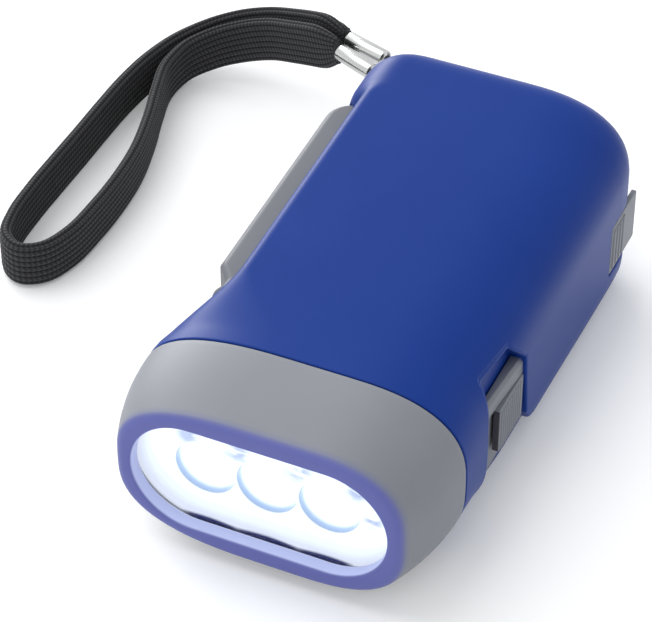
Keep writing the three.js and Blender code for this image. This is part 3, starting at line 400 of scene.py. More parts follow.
# %% Strap route
band_route = [
    (-38.6, 123.2, 19.5), (-44.0, 124.9, 17.9), (-51.0, 127.4, 15.3), (-58.5, 129.3, 12.5),
    (-65.5, 129.2, 9.8), (-71.8, 126.6, 7.4), (-76.4, 121.6, 5.9), (-79.0, 114.5, 5.2),
    (-80.0, 105.5, 5.1), (-80.1, 96.0, 5.1), (-80.0, 86.5, 5.1), (-80.0, 77.0, 5.1),
    (-79.9, 67.5, 5.1), (-79.2, 58.8, 5.1), (-77.2, 52.6, 5.1), (-73.3, 50.4, 5.1),
    (-69.4, 52.6, 5.1), (-67.0, 58.8, 5.1), (-66.3, 68.0, 5.1), (-66.4, 77.0, 5.1),
    (-67.4, 86.5, 5.1), (-69.8, 96.5, 5.1), (-72.6, 105.5, 5.1), (-74.5, 113.5, 5.2),
    (-73.3, 119.9, 6.0), (-69.0, 123.8, 7.8), (-63.5, 125.5, 10.0), (-57.0, 125.3, 12.7),
    (-50.0, 123.1, 15.4), (-43.5, 120.6, 17.9), (-38.4, 118.6, 19.5),
]
band_width = 9.6
band_thickness = 2.4
wales = 18
points_per_wale = 4
ridge_depth = 0.26
course_pitch = 0.85
band_steps = 420
band_line, band_length = even_route(band_route, band_steps)
band_around = wales * points_per_wale
end_share, end_taper = 0.34, 7.0
print("strap band is", round(band_length, 1), "mm long")

# %% [markdown]
# The band's section is a flat loop: two straight sides and two round ends, all with small ridges.
# A curve with a bevel profile would be quicker to make, but narrowing it at the ends would shrink
# the ridges too. So each section is walked by its girth, and the ridge is added on the way.


# %% Strap band
def band_ring(i):
    """The band's outline at one step: an upright flat loop with a ridge for each wale."""
    ahead = band_line[min(i + 1, band_steps)] - band_line[max(i - 1, 0)]
    ahead = ahead / np.linalg.norm(ahead)
    side = np.array([ahead[1], -ahead[0], 0.0])
    side = side / np.linalg.norm(side)
    up = np.cross(side, ahead)
    from_end = min(i, band_steps - i) * band_length / band_steps
    full = end_share + (1 - end_share) * math.sin(min(from_end / end_taper, 1.0) * math.pi / 2)
    half_flat = (band_width - band_thickness) / 2 * full
    corner = band_thickness / 2
    girth = 4 * half_flat + 2 * math.pi * corner
    ring = []
    for j in range(band_around):
        walk = girth * j / band_around
        ridge = ridge_depth * abs(math.sin(math.pi * j / points_per_wale))
        reach = corner - ridge_depth + ridge
        if walk < 2 * half_flat:
            across, high = reach, walk - half_flat
        elif walk < 2 * half_flat + math.pi * corner:
            turn = (walk - 2 * half_flat) / corner
            across, high = reach * math.cos(turn), half_flat + reach * math.sin(turn)
        elif walk < 4 * half_flat + math.pi * corner:
            across, high = -reach, 3 * half_flat + math.pi * corner - walk
        else:
            turn = (walk - 4 * half_flat - math.pi * corner) / corner + math.pi
            across, high = reach * math.cos(turn), -half_flat + reach * math.sin(turn)
        ring.append(tuple(band_line[i] + side * across + up * high))
    return ring


band = new_object("strap_knit", *skin([band_ring(i) for i in range(band_steps + 1)]))
print("strap band:", len(band.data.polygons), "faces")

# %% [markdown]
# The stitches need to know where they are on the band, so each corner gets a place: its length along
# the band and its way round, both counted in stitches. The seam of the count falls between two wales
# and is closed by giving the last strip of faces the full count and not nought.


# %% Stitch places on the band
def wrap(made, around, length_count, round_count):
    """Gives a tube's faces a place along and around, counted in whole steps."""
    layer = made.data.uv_layers.new(name="stitch")
    rings = len(made.data.vertices) // around
    for face in made.data.polygons:
        if face.loop_total != 4:
            continue
        spots = [divmod(made.data.loops[k].vertex_index, around) for k in face.loop_indices]
        wraps = {j for _, j in spots} == {0, around - 1}
        for k, (i, j) in zip(face.loop_indices, spots):
            turn = around if wraps and j == 0 else j
            layer.data[k].uv = (i / (rings - 1) * length_count, turn / around * round_count)


courses = round(band_length / course_pitch)
wrap(band, band_around, courses, wales)
print("stitches:", courses, "courses of", wales, "wales")

# %% [markdown]
# A knit stitch looks like a V whose two legs lean into the wale. The leaning comes from adding the
# distance from the wale's middle to the place along the band, before a sine makes the rows. The
# crown of each leg gets a painted highlight, and the ground between the wales is painted dark as
# shade.


# %% Knitted yarn
def knit_material(name, dark, light, slope, depth):
    """Knit yarn: V stitches along each wale, with painted highlights on the crowns and painted shade
    between.
    """
    material, tree, shader = new_material(name, Sheen_Weight=0.12, Sheen_Roughness=0.5,
                                          Specular_IOR_Level=0.15)
    place = add_node(tree, "ShaderNodeUVMap", uv_map="stitch")
    parts = add_node(tree, "ShaderNodeSeparateXYZ")
    fraction = math_node(tree, "FRACT")
    centred = math_node(tree, "SUBTRACT", 0.5)
    away = math_node(tree, "ABSOLUTE")
    lean = math_node(tree, "MULTIPLY_ADD", slope)
    turns = math_node(tree, "MULTIPLY", 2 * math.pi)
    wave = math_node(tree, "SINE")
    leg = add_node(tree, "ShaderNodeMapRange", From_Min=-1.0, To_Min=0.3)
    crown = add_node(tree, "ShaderNodeMapRange", From_Min=0.5, From_Max=0.2)
    height = math_node(tree, "MULTIPLY")
    where = add_node(tree, "ShaderNodeTexCoord")
    fuzz = add_node(tree, "ShaderNodeTexNoise", Scale=2500.0, Detail=4.0)
    rough = math_node(tree, "MULTIPLY_ADD", 0.3)
    # The tone follows the stitch's height: painted highlight on the crowns, painted shade in the grooves.
    tones = colour_mix(tree, light, dark)
    finish = add_node(tree, "ShaderNodeMapRange", To_Min=0.95, To_Max=0.7)
    bump = add_node(tree, "ShaderNodeBump", Distance=0.0003, Strength=depth)
    wire(tree, place, parts)
    wire(tree, parts, fraction, "Y", 0)
    wire(tree, fraction, centred)
    wire(tree, centred, away)
    wire(tree, away, lean)
    wire(tree, parts, lean, "X", 2)
    wire(tree, lean, turns)
    wire(tree, turns, wave)
    wire(tree, wave, leg, 0, "Value")
    wire(tree, away, crown, 0, "Value")
    wire(tree, leg, height, "Result", 0)
    wire(tree, crown, height, "Result", 1)
    wire(tree, where, fuzz, "Object", "Vector")
    wire(tree, fuzz, rough, 0, 0)
    wire(tree, height, rough, 0, 2)
    wire(tree, rough, bump, 0, "Height")
    wire(tree, rough, tones, 0, 0)
    wire(tree, rough, finish, 0, "Value")
    wire(tree, tones, shader, 2, "Base Color")
    wire(tree, finish, shader, "Result", "Roughness")
    wire(tree, bump, shader, "Normal", "Normal")
    return material


# %% [markdown]
# The band's yarn is black, and only the crowns of its stitches turn grey, which is a painted highlight.
# Its edges are kept sharp only where they are steeper than a ridge, so the wales stay soft.

# %% Finish of the band
webbing = knit_material("webbing", (8, 8, 9), (60, 60, 62), 0.9, 0.5)
band.data.materials.append(webbing)
soften(band, 80)
finish_piece(band, "case", "webbing", "strap_band")

# %% [markdown]
# The thin cord is a tight braid. It comes out of one metal tube, goes round the steel post in the
# tail and back into the other tube. A curve with a round bevel would give the same shape. Rings of
# points are used because the braid, a slanted stitch, is then easy to count along and round it.

# %% Strap cord
cord_route = [
    (-28.9, 119.6, 19.8), (-26.5, 118.6, 19.8), (-22.5, 115.8, 19.6), (-18.4, 111.0, 19.1),
    (-14.9, 106.0, 18.4), (-13.3, 102.8, 18.2), (-13.9, 100.9, 18.2), (-16.0, 99.9, 18.2),
    (-18.1, 100.9, 18.2), (-18.9, 102.8, 18.2), (-20.8, 106.2, 18.4), (-24.6, 110.4, 19.1),
    (-27.8, 113.2, 19.6), (-29.4, 114.5, 19.8),
]
cord_radius = 0.9
cord_steps = 130
cord_around = 16
braid_pitch, braid_strands = 0.7, 4
cord_line, cord_length = even_route(cord_route, cord_steps)


def tube_rings(line, radius, around):
    """Round rings across a route."""
    rings = []
    for i in range(len(line)):
        ahead = line[min(i + 1, len(line) - 1)] - line[max(i - 1, 0)]
        ahead = ahead / np.linalg.norm(ahead)
        side = np.cross(ahead, (0, 0, 1))
        side = side / np.linalg.norm(side)
        up = np.cross(side, ahead)
        turns = [2 * math.pi * j / around for j in range(around)]
        rings.append([tuple(line[i] + radius * (math.cos(a) * side + math.sin(a) * up)) for a in turns])
    return rings


thin_cord = new_object("strap_braid", *skin(tube_rings(cord_line, cord_radius, cord_around)))
wrap(thin_cord, cord_around, round(cord_length / braid_pitch), braid_strands)
# The braid's paler tone is the same painted highlight on its crowns.
braid = knit_material("braid", (20, 20, 22), (64, 64, 68), 1.6, 0.7)
thin_cord.data.materials.append(braid)
soften(thin_cord, 80)
finish_piece(thin_cord, "case", "webbing", "strap_cord")

# %% [markdown]
# Each end of the strap is held in a short plain tube of drawn metal, cut off flat at both ends. It
# fills the space between a band end and a cord end. A cylinder with a bevel would do for its
# outside, but the cut ends show the wall as a thin bright rim, so a profile is spun about its line.

# %% Metal tubes
gap = 0.3
ferrule_radius = 1.7
drawn_metal = hard_material("drawn_metal", (186, 188, 187), (206, 207, 206), (224, 225, 225),
                            rough=(0.2, 0.3), grain=(900.0, 0.02), edge=0.0001, Metallic=1.0)


def metal_tube(name, band_end, cord_end):
    """A plain metal tube with flat cut ends, each sunk a little inside its rim."""
    start = np.array(band_end)
    end = np.array(cord_end)
    ahead = (end - start) / np.linalg.norm(end - start)
    length = np.linalg.norm(end - start) - 2 * gap
    origin = start + ahead * gap
    side = np.cross(ahead, (0, 0, 1))
    side = side / np.linalg.norm(side)
    up = np.cross(side, ahead)
    cut_end = [(0.4, 1.36), (0.03, 1.4), (0.0, 1.43), (0.0, 1.6), (0.03, 1.67), (0.1, ferrule_radius)]
    profile = cut_end + [(length - along, radius) for along, radius in reversed(cut_end)]
    rings = []
    for along, radius in profile:
        turns = [2 * math.pi * j / 48 for j in range(48)]
        middle = origin + ahead * along
        rings.append([tuple(middle + radius * (math.cos(a) * side + math.sin(a) * up)) for a in turns])
    made = new_object(name, *skin(rings))
    made.data.materials.append(drawn_metal)
    return soften(made, 30)


tube_1 = metal_tube("tube_1", band_route[0], cord_route[0])
tube_2 = metal_tube("tube_2", band_route[-1], cord_route[-1])
finish_piece(tube_1, "case", "polished_metal", "ferrule_1")
finish_piece(tube_2, "case", "polished_metal", "ferrule_2")


# %% [markdown]
# The case is a moulded shell with no flat side. It could be modelled by hand under a Subdivision
# Surface, but then it would only come near the drawing's sizes. Sizes written as functions of the
# length meet them. These are the main ones, with the soft step that leads from one to the next.

# %% Case sizes
head_length = 18.0
rim_width, rim_height, rim_radius = 51.4, 29.0, 1.2
seam_width, seam_height = 59.6, 32.6
head_axis = 17.3
tail_top = 38.0
wall = 1.8
rear_radius, rear_right, rear_left = 7.0, 11.0, 9.0
grip_y, grip_right, grip_left = 48, 29.2, 19.8
tail_y, tail_right, tail_left = 90, 29.6, 25.2
scoop_ends, swell_ends = (19.5, 36.5), (87, 92)
recess_corner = 2.2


def mix(a, b, t):
    """The value that lies t of the way from a to b."""
    return a + (b - a) * t


def smooth(start, end, y):
    """0 up to the start, 1 from the end on, and a soft step between."""
    t = min(max((y - start) / (end - start), 0.0), 1.0)
    return t * t * (3 - 2 * t)


def corner_inset(radius, y):
    """How far a rear corner of this radius has turned in at y."""
    into = min(max(y - (case_length - radius), 0.0), radius)
    return radius - math.sqrt(radius ** 2 - into ** 2)


# %% [markdown]
# At each place along the length the outline is an upright loop with four soft corners, each with its
# own width and height. They repeat the drawing's rule, only with many more points. Behind the seam
# the left side is hollowed for the lever and swells again at the tail.


# %% Sizes along the length
def head_size(y):
    """Side reach, top, bottom and corner sizes of the bezel's outline at y."""
    t = 1 - (1 - y / head_length) ** 2
    half = mix(rim_width, seam_width, t) / 2
    height = mix(rim_height, seam_height, t)
    edge = max(rim_radius - y, 0.0)
    trim = rim_radius - math.sqrt(rim_radius ** 2 - edge ** 2)
    return dict(left=half - trim, right=half - trim, top=head_axis + height / 2 - trim,
                bottom=head_axis - height / 2 + trim, left_wide=half * 0.95, right_wide=half * 0.7,
                foot_wide=half * 0.7, left_high=height / 2, right_high=height / 2, foot_high=height / 2)


def case_size(y):
    """The same for the case behind the seam."""
    half_seam = seam_width / 2
    scoop = smooth(*scoop_ends, y)
    bump = smooth(*swell_ends, y)
    recess = scoop - bump
    along = (y - head_length) / (case_length - head_length)
    rise = corner_inset(rear_radius, y)
    top = mix(head_axis + seam_height / 2, tail_top, along)
    bottom = mix(head_axis - seam_height / 2, 0, smooth(head_length, 30, y))
    half = (top - bottom) / 2
    grip = smooth(head_length, grip_y, y)
    right = mix(mix(half_seam, grip_right, grip), tail_right, smooth(grip_y, tail_y, y))
    left = mix(half_seam, grip_left, scoop) if y < grip_y else mix(grip_left, tail_left, bump)
    free = half_seam * 0.95 if y < grip_y else 10
    return dict(left=left - corner_inset(rear_left, y), right=right - corner_inset(rear_right, y),
                top=top - rise, bottom=bottom + rise, left_wide=mix(free, recess_corner, recess),
                right_wide=half_seam * 0.7 - rise, foot_wide=mix(half_seam * 0.7, 8, grip),
                left_high=mix(half, recess_corner, recess), right_high=mix(half, 13, grip),
                foot_high=mix(half, 8, grip))


# %% [markdown]
# A true quarter circle would look too round at the grip and a plain corner too hard. A superellipse
# lies between the two: its power is a little above 2, and the corner fills out.


# %% Outline loops
squareness = 2.6
corner_steps = 18


def outline(y, size, inset=0.0):
    """One upright loop, right side first and then up, over and round."""
    left, right = size["left"] - inset, size["right"] - inset
    top, bottom = size["top"] - inset, size["bottom"] + inset
    half = (top - bottom) / 2 - 1
    corners = [(right, 1, "right", top, -1), (left, -1, "left", top, -1), (left, 1, "left", bottom, 1),
               (right, -1, "foot", bottom, 1)]
    ring = []
    for place, (side, order, which, level, sign) in enumerate(corners):
        wide = max(size[which + "_wide"] - inset, gap)
        high = min(max(size[which + "_high"] - inset, gap), half)
        spots = []
        for i in range(corner_steps + 1):
            turn = math.pi / 2 * i / corner_steps
            x = side - wide + wide * max(math.cos(turn), 0) ** (2 / squareness)
            z = high - high * max(math.sin(turn), 0) ** (2 / squareness)
            spots.append((x if place in (0, 3) else -x, y, level + sign * z))
        ring.extend(spots if order > 0 else reversed(spots))
    return ring


# %% [markdown]
# The outline's corners bunch their points near the ends of each quarter, which suits the tight
# corners. The skin takes an outline wherever the shape changes fast: at the scoop, at the tail's
# bump and round the rear corner. A tiny rounding at the seam gives the dark line that the bezel and
# the case draw between them.

# %% Case skins
seam_y = head_length + gap


def case_skin(inset, start, edge=0.0):
    """A closed skin of the case, inset by a wall, from start to the tail."""
    places = [start + step for step in (0.3, 0.6)]
    places += list(np.linspace(19.5, 48, 34)) + list(np.linspace(48, 86, 12))
    places += list(np.linspace(86.5, 92.5, 19))
    places += [case_length - rear_right + rear_right * math.sin(math.radians(a)) for a in range(8, 90, 6)]
    places += [case_length]
    places = sorted({round(min(y, case_length - inset), 4) for y in places if y > start})
    rings = []
    if edge:
        for turn in (0, 30, 60):
            lift = edge * (1 - math.sin(math.radians(turn)))
            y = start + edge * (1 - math.cos(math.radians(turn)))
            rings.append(outline(y, case_size(y), lift))
        places = [y for y in places if y > start + edge]
        rings.append(outline(start + edge, case_size(start + edge), 0.0))
    else:
        rings.append(outline(start, case_size(start), inset))
    rings += [outline(y, case_size(y), inset) for y in places]
    return new_object("skin", *skin(rings))


def head_skin(inset, start, end):
    """A closed skin that follows the bezel's inside."""
    rings = [outline(y, head_size(min(y, head_length)), inset) for y in np.linspace(start, end, 5)]
    return new_object("skin", *skin(rings))


fine_skin = case_skin(0.0, seam_y, 0.25)
fine_tree = BVHTree.FromObject(fine_skin, bpy.context.evaluated_depsgraph_get())
print("case skin:", len(fine_skin.data.polygons), "faces")

# %% [markdown]
# The pockets for the thumb switch, the lock and the strap's eye are cut into the shell. On a moulded
# case their edges are rounded, which catches a thin line of light. So each pocket is cut a little
# too wide, and a lip then fills the difference: a strip that leaves the skin, rolls over the edge
# and runs down the pocket's wall. Along the top of the switch's pocket the edge is much rounder,
# and at its lower rear corner the pocket runs out backwards under the case.

# %% Pocket outlines
lip_radius, wide_lip = 0.45, 1.0
switch_pocket = [
    (28.4, -1.0), (57.8, -1.0), (56.6, 1.0), (54.4, 2.5), (51.6, 4.0), (49.6, 5.7), (48.0, 8.2),
    (46.3, 22.6), (41.2, 28.0), (30.8, 28.3), (28.4, 20.7),
]
lock_pocket = [(88.3, 8.4), (103.0, 8.4), (103.0, 19.8), (88.3, 19.8)]
eye_pocket = [(-21.5, 13.7), (-10.5, 13.7), (-10.5, 22.7), (-21.5, 22.7)]
print("corners of the pockets:", len(switch_pocket), len(lock_pocket), len(eye_pocket))

# %% [markdown]
# An outline is given by its corners alone. Rounding them is plain geometry: an arc touches both
# sides of a corner, from inside at an outer corner and from outside at a hollow one. Each point
# keeps its outward direction, so the outline can be widened or narrowed later.


# %% Rounded outlines
def rounded(corners, radius, steps=6, spacing=0.8):
    """A closed outline with rounded corners and even points, as (point, outward normal) pairs."""
    corners = [np.array(corner, float) for corner in corners]
    area = sum(a[0] * b[1] - a[1] * b[0] for a, b in zip(corners, corners[1:] + corners[:1]))
    if area < 0:
        corners = corners[::-1]
    rounds = []
    for i, corner in enumerate(corners):
        before = corners[i - 1] - corner
        after = corners[(i + 1) % len(corners)] - corner
        before = before / np.linalg.norm(before)
        after = after / np.linalg.norm(after)
        half = math.acos(float(np.clip(before @ after, -1, 1))) / 2
        middle = (before + after) / np.linalg.norm(before + after)
        centre = corner + middle * radius / math.sin(half)
        first = np.array([-before[1], before[0]])
        last = np.array([after[1], -after[0]])
        reach = radius if first @ middle < 0 else -radius
        arc = []
        for step in range(steps + 1):
            normal = mix(first, last, step / steps)
            normal = normal / np.linalg.norm(normal)
            arc.append((centre + normal * reach, normal))
        rounds.append(arc)
    loop = []
    for i, arc in enumerate(rounds):
        loop += arc
        start, normal = arc[-1]
        end = rounds[(i + 1) % len(rounds)][0][0]
        extra = int(np.linalg.norm(end - start) / spacing)
        loop += [(mix(start, end, k / (extra + 1)), normal) for k in range(1, extra + 1)]
    return loop


# %% [markdown]
# Each pocket's outline is used twice: for the cut and for its rolled edge. The cut is wider than the
# pocket by the width of that edge, and along the top of the switch's pocket the edge is wider still.


# %% Widths of the pocket edges
def lip_widths(loop, top):
    """How far the lip reaches at each point: more where the edge faces up."""
    return [mix(lip_radius, top, smooth(0.3, 0.95, normal[1])) for _, normal in loop]


def lipped(loop, top=lip_radius):
    """The outline of the wider cut that the lip fills."""
    return [tuple(point + normal * width) for (point, normal), width in zip(loop, lip_widths(loop, top))]


switch_loop = rounded(switch_pocket, 0.9)
lock_loop = rounded(lock_pocket, 0.6)
eye_loop = rounded(eye_pocket, 2.2)
print("pocket outlines:", len(switch_loop), len(lock_loop), len(eye_loop), "points")

# %% [markdown]
# Behind each pocket the wall is thicker, and the lever's pin and the screws need bosses. Space is cut
# for the lever, the pockets, the slots and the screws. Each body has a name, as on a parts list.

# %% Liners and cuts
pin_x, pin_y = -19.5, 32.0
sill_z, lever_top = 5.5, 30.0
parting = sill_z - 1.5 * gap
switch_floor, lock_floor, eye_floor = 26.0, 27.5, 98.5
stem_slot = (37.7, 46.3, 11.4, 15.4)
eye_x = -16.0
pin_hole = 1.2
screw_shares = (0.7, 0.229, 2.5), (-0.55, 0.224, 2.5), (0.755, 0.8, 0.8), (-0.168, 0.941, 0.8)
screw_spots = [(x * seam_width / 2, y * case_length, head) for x, y, head in screw_shares]


def within(cutter):
    """A piece of the shell that stays a hair inside the case's skin, so the skin stays whole."""
    return carved("liner", cutter, [("INTERSECT", case_skin(0.03, seam_y))])


def liners():
    """What is added inside the wall: liners behind the pockets, and bosses for pin and screws."""
    made = {
        "switch": block(switch_floor - wall, 29.6, 26.6, 49.2, 0, 31.5),
        "switch foot": block(switch_floor - wall, 29.6, 49, 60, 0, 7),
        "lock": block(lock_floor - wall, 29.6, 86.5, 105, 6.9, 21.3),
        "eye": block(-23.0, -9.0, 97.0, 105, 12.2, 24.2),
        "pin foot": rod(4.1, pin_x, pin_y, 0, sill_z - gap),
        "pin head": rod(4.1, pin_x, pin_y, lever_top + gap, tail_top),
    }
    return list(made.values()) + [rod(3.3, x, y, 0, tail_top) for x, y, head in screw_spots]


def cuts():
    """What is cut from the shell."""
    made = {
        "lever space": block(-60, -17.7, 32.3, 91.3, parting, lever_top + gap),
        "knuckle": rod(4.4, pin_x, pin_y, parting, lever_top + gap),
        "pin": rod(pin_hole, pin_x, pin_y, 2.6, 31.7),
        "switch pocket": prism(lipped(switch_loop, wide_lip), "x", switch_floor, 60),
        "lock pocket": prism(lipped(lock_loop), "x", lock_floor, 60),
        "strap eye": prism(lipped(eye_loop), "y", eye_floor, 110),
        "switch slot": block(23, 27, *stem_slot),
        "lock slot": block(24, 28.5, 88.9, 95.0, 12.2, 15.8),
        "strap post": rod(1.6, eye_x, 102.6, 12.5, 23.9),
    }
    wells = [(rod(2.5, x, y, -1, head + 1.7), rod(1.4, x, y, head, 16.3)) for x, y, head in screw_spots]
    return list(made.values()) + [part for well in wells for part in well]


# %% [markdown]
# The two halves are the same shell cut at the lever's sill. The shell is the outside less the
# inside, with the liners added and the cuts made. A thin gap is left between the halves, as the
# moulded ones would show.


# %% Case halves
def shell_steps():
    """All the steps from the outside skin to the shell."""
    steps = [("UNION", head_skin(2.3, 12.0, 19.8)), ("DIFFERENCE", case_skin(wall, seam_y + wall)),
             ("DIFFERENCE", head_skin(3.9, 11.0, 21.1))]
    steps += [("UNION", within(liner)) for liner in liners()]
    return steps + [("DIFFERENCE", cut) for cut in cuts()]


shell = carved("shell", case_skin(0.0, seam_y, 0.25), shell_steps())
twin = shell.copy()
bpy.context.scene.collection.objects.link(twin)
upper = carved("case_upper", shell, [("INTERSECT", block(-200, 200, -100, 200, parting + gap / 2, 90))])
lower = carved("case_lower", twin, [("INTERSECT", block(-200, 200, -100, 200, -90, parting - gap / 2))])
print("case halves:", len(upper.data.polygons), "and", len(lower.data.polygons), "faces")

# %% [markdown]
# A lip is four-sided all the way: one ring of points lies on the skin, the next few roll over the
# edge, and the last stand at the pocket's floor. A ray from outside finds the skin at each point.
# Where the skin has already sunk below the pocket's floor, the strip dives under it and is hidden.


# %% Pocket lips
def skin_level(axis, point):
    """How far out the skin lies over a point of the pocket's outline, in drawing millimetres."""
    if axis == "x":
        hit = fine_tree.ray_cast(Vector(row((60, *point))), Vector((-1, 0, 0)))[0]
        return hit.x * 1000 if hit else 0.0
    hit = fine_tree.ray_cast(Vector(row((point[0], 140, point[1]))), Vector((0, -1, 0)))[0]
    return hit.y * 1000 + case_length / 2 if hit else 0.0


def lip(name, loop, axis, floor, top=lip_radius, roll=6):
    """The rolled edge of a pocket as an open strip facing outwards."""
    rings = [[] for _ in range(roll + 3)]
    for (point, normal), width in zip(loop, lip_widths(loop, top)):
        outer = point + normal * width
        level = skin_level(axis, outer)
        inner = skin_level(axis, point)
        sunk = 0.08 if inner < floor + 0.03 else 0.0
        low = max(inner - width, floor) if not sunk else inner
        for i in range(roll + 1):
            t = i / roll
            depth = (1 - t) ** 2 * level + 2 * t * (1 - t) * inner + t * t * low - sunk * (i > 0)
            spot = point + normal * width * (1 - t) ** 2
            rings[i].append((depth, spot))
        rings[roll + 1].append((min(floor, low) - sunk, point))
        rings[roll + 2].append((min(floor, low) - sunk - 0.05, point - normal * 0.05))
    points = [(d, *s) if axis == "x" else (s[0], d, s[1]) for ring in rings for d, s in ring]
    count = len(loop)
    faces = []
    for i in range(len(rings) - 1):
        for j in range(count):
            k = (j + 1) % count
            face = (i * count + j, i * count + k, (i + 1) * count + k, (i + 1) * count + j)
            faces.append(face if axis == "x" else face[::-1])
    mesh = bpy.data.meshes.new(name)
    mesh.from_pydata([row(spot) for spot in points], [], faces)
    made = bpy.data.objects.new(name, mesh)
    bpy.context.scene.collection.objects.link(made)
    return made


# %% [markdown]
# The switch's pocket runs out at the case's foot, below the line where the two halves meet. Its lip
# is cut off along that line, and the three lips are joined to the upper half.


# %% Lips on the upper half
def cut_low(made, level):
    """Drops the part of an open strip that lies under a level."""
    shape = bmesh.new()
    shape.from_mesh(made.data)
    plane = dict(plane_co=(0, 0, level / 1000), plane_no=(0, 0, 1))
    everything = shape.verts[:] + shape.edges[:] + shape.faces[:]
    bmesh.ops.bisect_plane(shape, geom=everything, clear_inner=True, **plane)
    shape.to_mesh(made.data)
    shape.free()
    return made


switch_lip = cut_low(lip("lip", switch_loop, "x", switch_floor, wide_lip, 10), parting + gap / 2)
lock_lip = lip("lip", lock_loop, "x", lock_floor)
eye_lip = lip("lip", eye_loop, "y", eye_floor)
upper = joined("case_upper", [upper, switch_lip, lock_lip, eye_lip])
print("lips:", len(switch_loop) + len(lock_loop) + len(eye_loop), "points round the pockets")

# %% [markdown]
# Cutting leaves long thin faces on the outside, and smooth shading across them shows as faint
# streaks. The uncut skin has even faces, so its normals are read at each corner and given to the
# cut case. Corners away from the skin keep their own.

# %% Shading of the case
skin_mesh = fine_skin.data
skin_mesh.shade_smooth()
skin_vertex_normals = [vertex.normal.copy() for vertex in skin_mesh.vertices]


def smooth_normal(spot, index):
    """The fine skin's smooth normal at a spot of one of its faces."""
    total = Vector((0, 0, 0))
    for k in skin_mesh.polygons[index].vertices:
        reach = (skin_mesh.vertices[k].co - spot).length + 1e-6
        total += skin_vertex_normals[k] / reach
    return total.normalized()


def skin_normals(made):
    """Takes the shading of the outer skin from the fine skin, so long cut faces stay smooth."""
    soften(made, 30)
    mesh = made.data
    corner = [Vector(normal.vector) for normal in mesh.corner_normals]
    for face in mesh.polygons:
        for k in face.loop_indices:
            spot = mesh.vertices[mesh.loops[k].vertex_index].co
            near, normal, index, distance = fine_tree.find_nearest(spot)
            if distance < 2e-5 and normal.dot(face.normal) > 0.9:
                corner[k] = smooth_normal(near, index)
    mesh.normals_split_custom_set(corner)
    return made


for half in (upper, lower):
    skin_normals(half)
    half.data.materials.clear()
    half.data.materials.append(blue_plastic)
bpy.data.objects.remove(fine_skin)
finish_piece(upper, "case", "blue_plastic", "top_shell")
finish_piece(lower, "case", "blue_plastic", "bottom_shell")

# %% [markdown]
# The bezel is one closed skin: down the outside, round the rim, across the front face, into the
# opening, out again behind the lip to seat the window, and back along the inside to the seam.
# Cutting the opening with a Boolean would leave long thin faces on the rim, where the light shows
# every fault. The opening's loops have their points in the outline's order, so nothing twists.

# %% Bezel
opening_width, opening_height, lip_depth = 46.5, 22.1, 2.7
opening_edge = 0.55
seat_width, seat_height, seat_end = 49.1, 24.6, 12.0
bezel_wall = 2.0


def stadium(width, height, y):
    """A loop with round ends, with its points in the outline's order."""
    radius = height / 2
    offset = width / 2 - radius
    ring = []
    for quarter in range(4):
        for i in range(corner_steps + 1):
            turn = (quarter + i / corner_steps) * math.pi / 2
            x = radius * math.cos(turn) + (offset if quarter in (0, 3) else -offset)
            ring.append((x, y, head_axis + radius * math.sin(turn)))
    return ring


def bezel_rings():
    """The bezel's loops in order, from the seam round to the seam."""
    seam_edge = (head_length, 0.25), (17.93, 0.07), (17.75, 0.0)
    rings = [outline(y, head_size(y), inset) for y, inset in seam_edge]
    rings += [outline(y, head_size(y)) for y in np.linspace(16.8, rim_radius, 18)]
    for turn in np.linspace(0.2, math.pi / 2, 8):
        y = rim_radius * (1 - math.sin(turn))
        rings.append(outline(y, head_size(y)))
    for turn in np.linspace(0, math.pi / 2, 7):
        grow = 2 * opening_edge * (1 - math.sin(turn))
        y = opening_edge * (1 - math.cos(turn))
        rings.append(stadium(opening_width + grow, opening_height + grow, y))
    rings += [stadium(opening_width, opening_height, lip_depth - 0.15)]
    rings += [stadium(opening_width + 0.2, opening_height + 0.2, lip_depth)]
    rings += [stadium(seat_width, seat_height, y) for y in (lip_depth, seat_end)]
    rings += [outline(y, head_size(y), bezel_wall) for y in (seat_end, head_length)]
    return rings


bezel = new_object("front_bezel", *skin(bezel_rings(), closed=True))
soften(bezel, 40)
print("bezel:", len(bezel.data.polygons), "faces")


# %% [markdown]
# The plastic is slightly milky, so the lamps' bluish light spreads in it: the rim looks violet and
# the opening's wall shines. Light that really scatters inside would need long renders. Two values
# at each point of the mesh say how lit it is, and the material mixes in its tints by them.


# %% Light in the bezel
def beyond_opening(x, z):
    """How far a point lies outside the opening's outline, in drawing millimetres."""
    side = max(abs(x) - (opening_width - opening_height) / 2, 0)
    return math.hypot(side, z - head_axis) - opening_height / 2


def mark_light(made):
    """Stores how lit each point of the bezel is: "rim" on the front, "glow" in the opening."""
    rim = made.data.attributes.new("rim", "FLOAT", "POINT")
    glow = made.data.attributes.new("glow", "FLOAT", "POINT")
    for i, vertex in enumerate(made.data.vertices):
        x, y, z = vertex.co.x * 1000, vertex.co.y * 1000 + case_length / 2, vertex.co.z * 1000
        away = beyond_opening(x, z)
        rim.data[i].value = 1 - smooth(0.3, 1.7, y)
        opening_wall = smooth(0.1, 0.5, y) * (1 - smooth(0.25, 0.6, away))
        glow.data[i].value = opening_wall * (1 - smooth(3.0, 4.0, y))
    return made
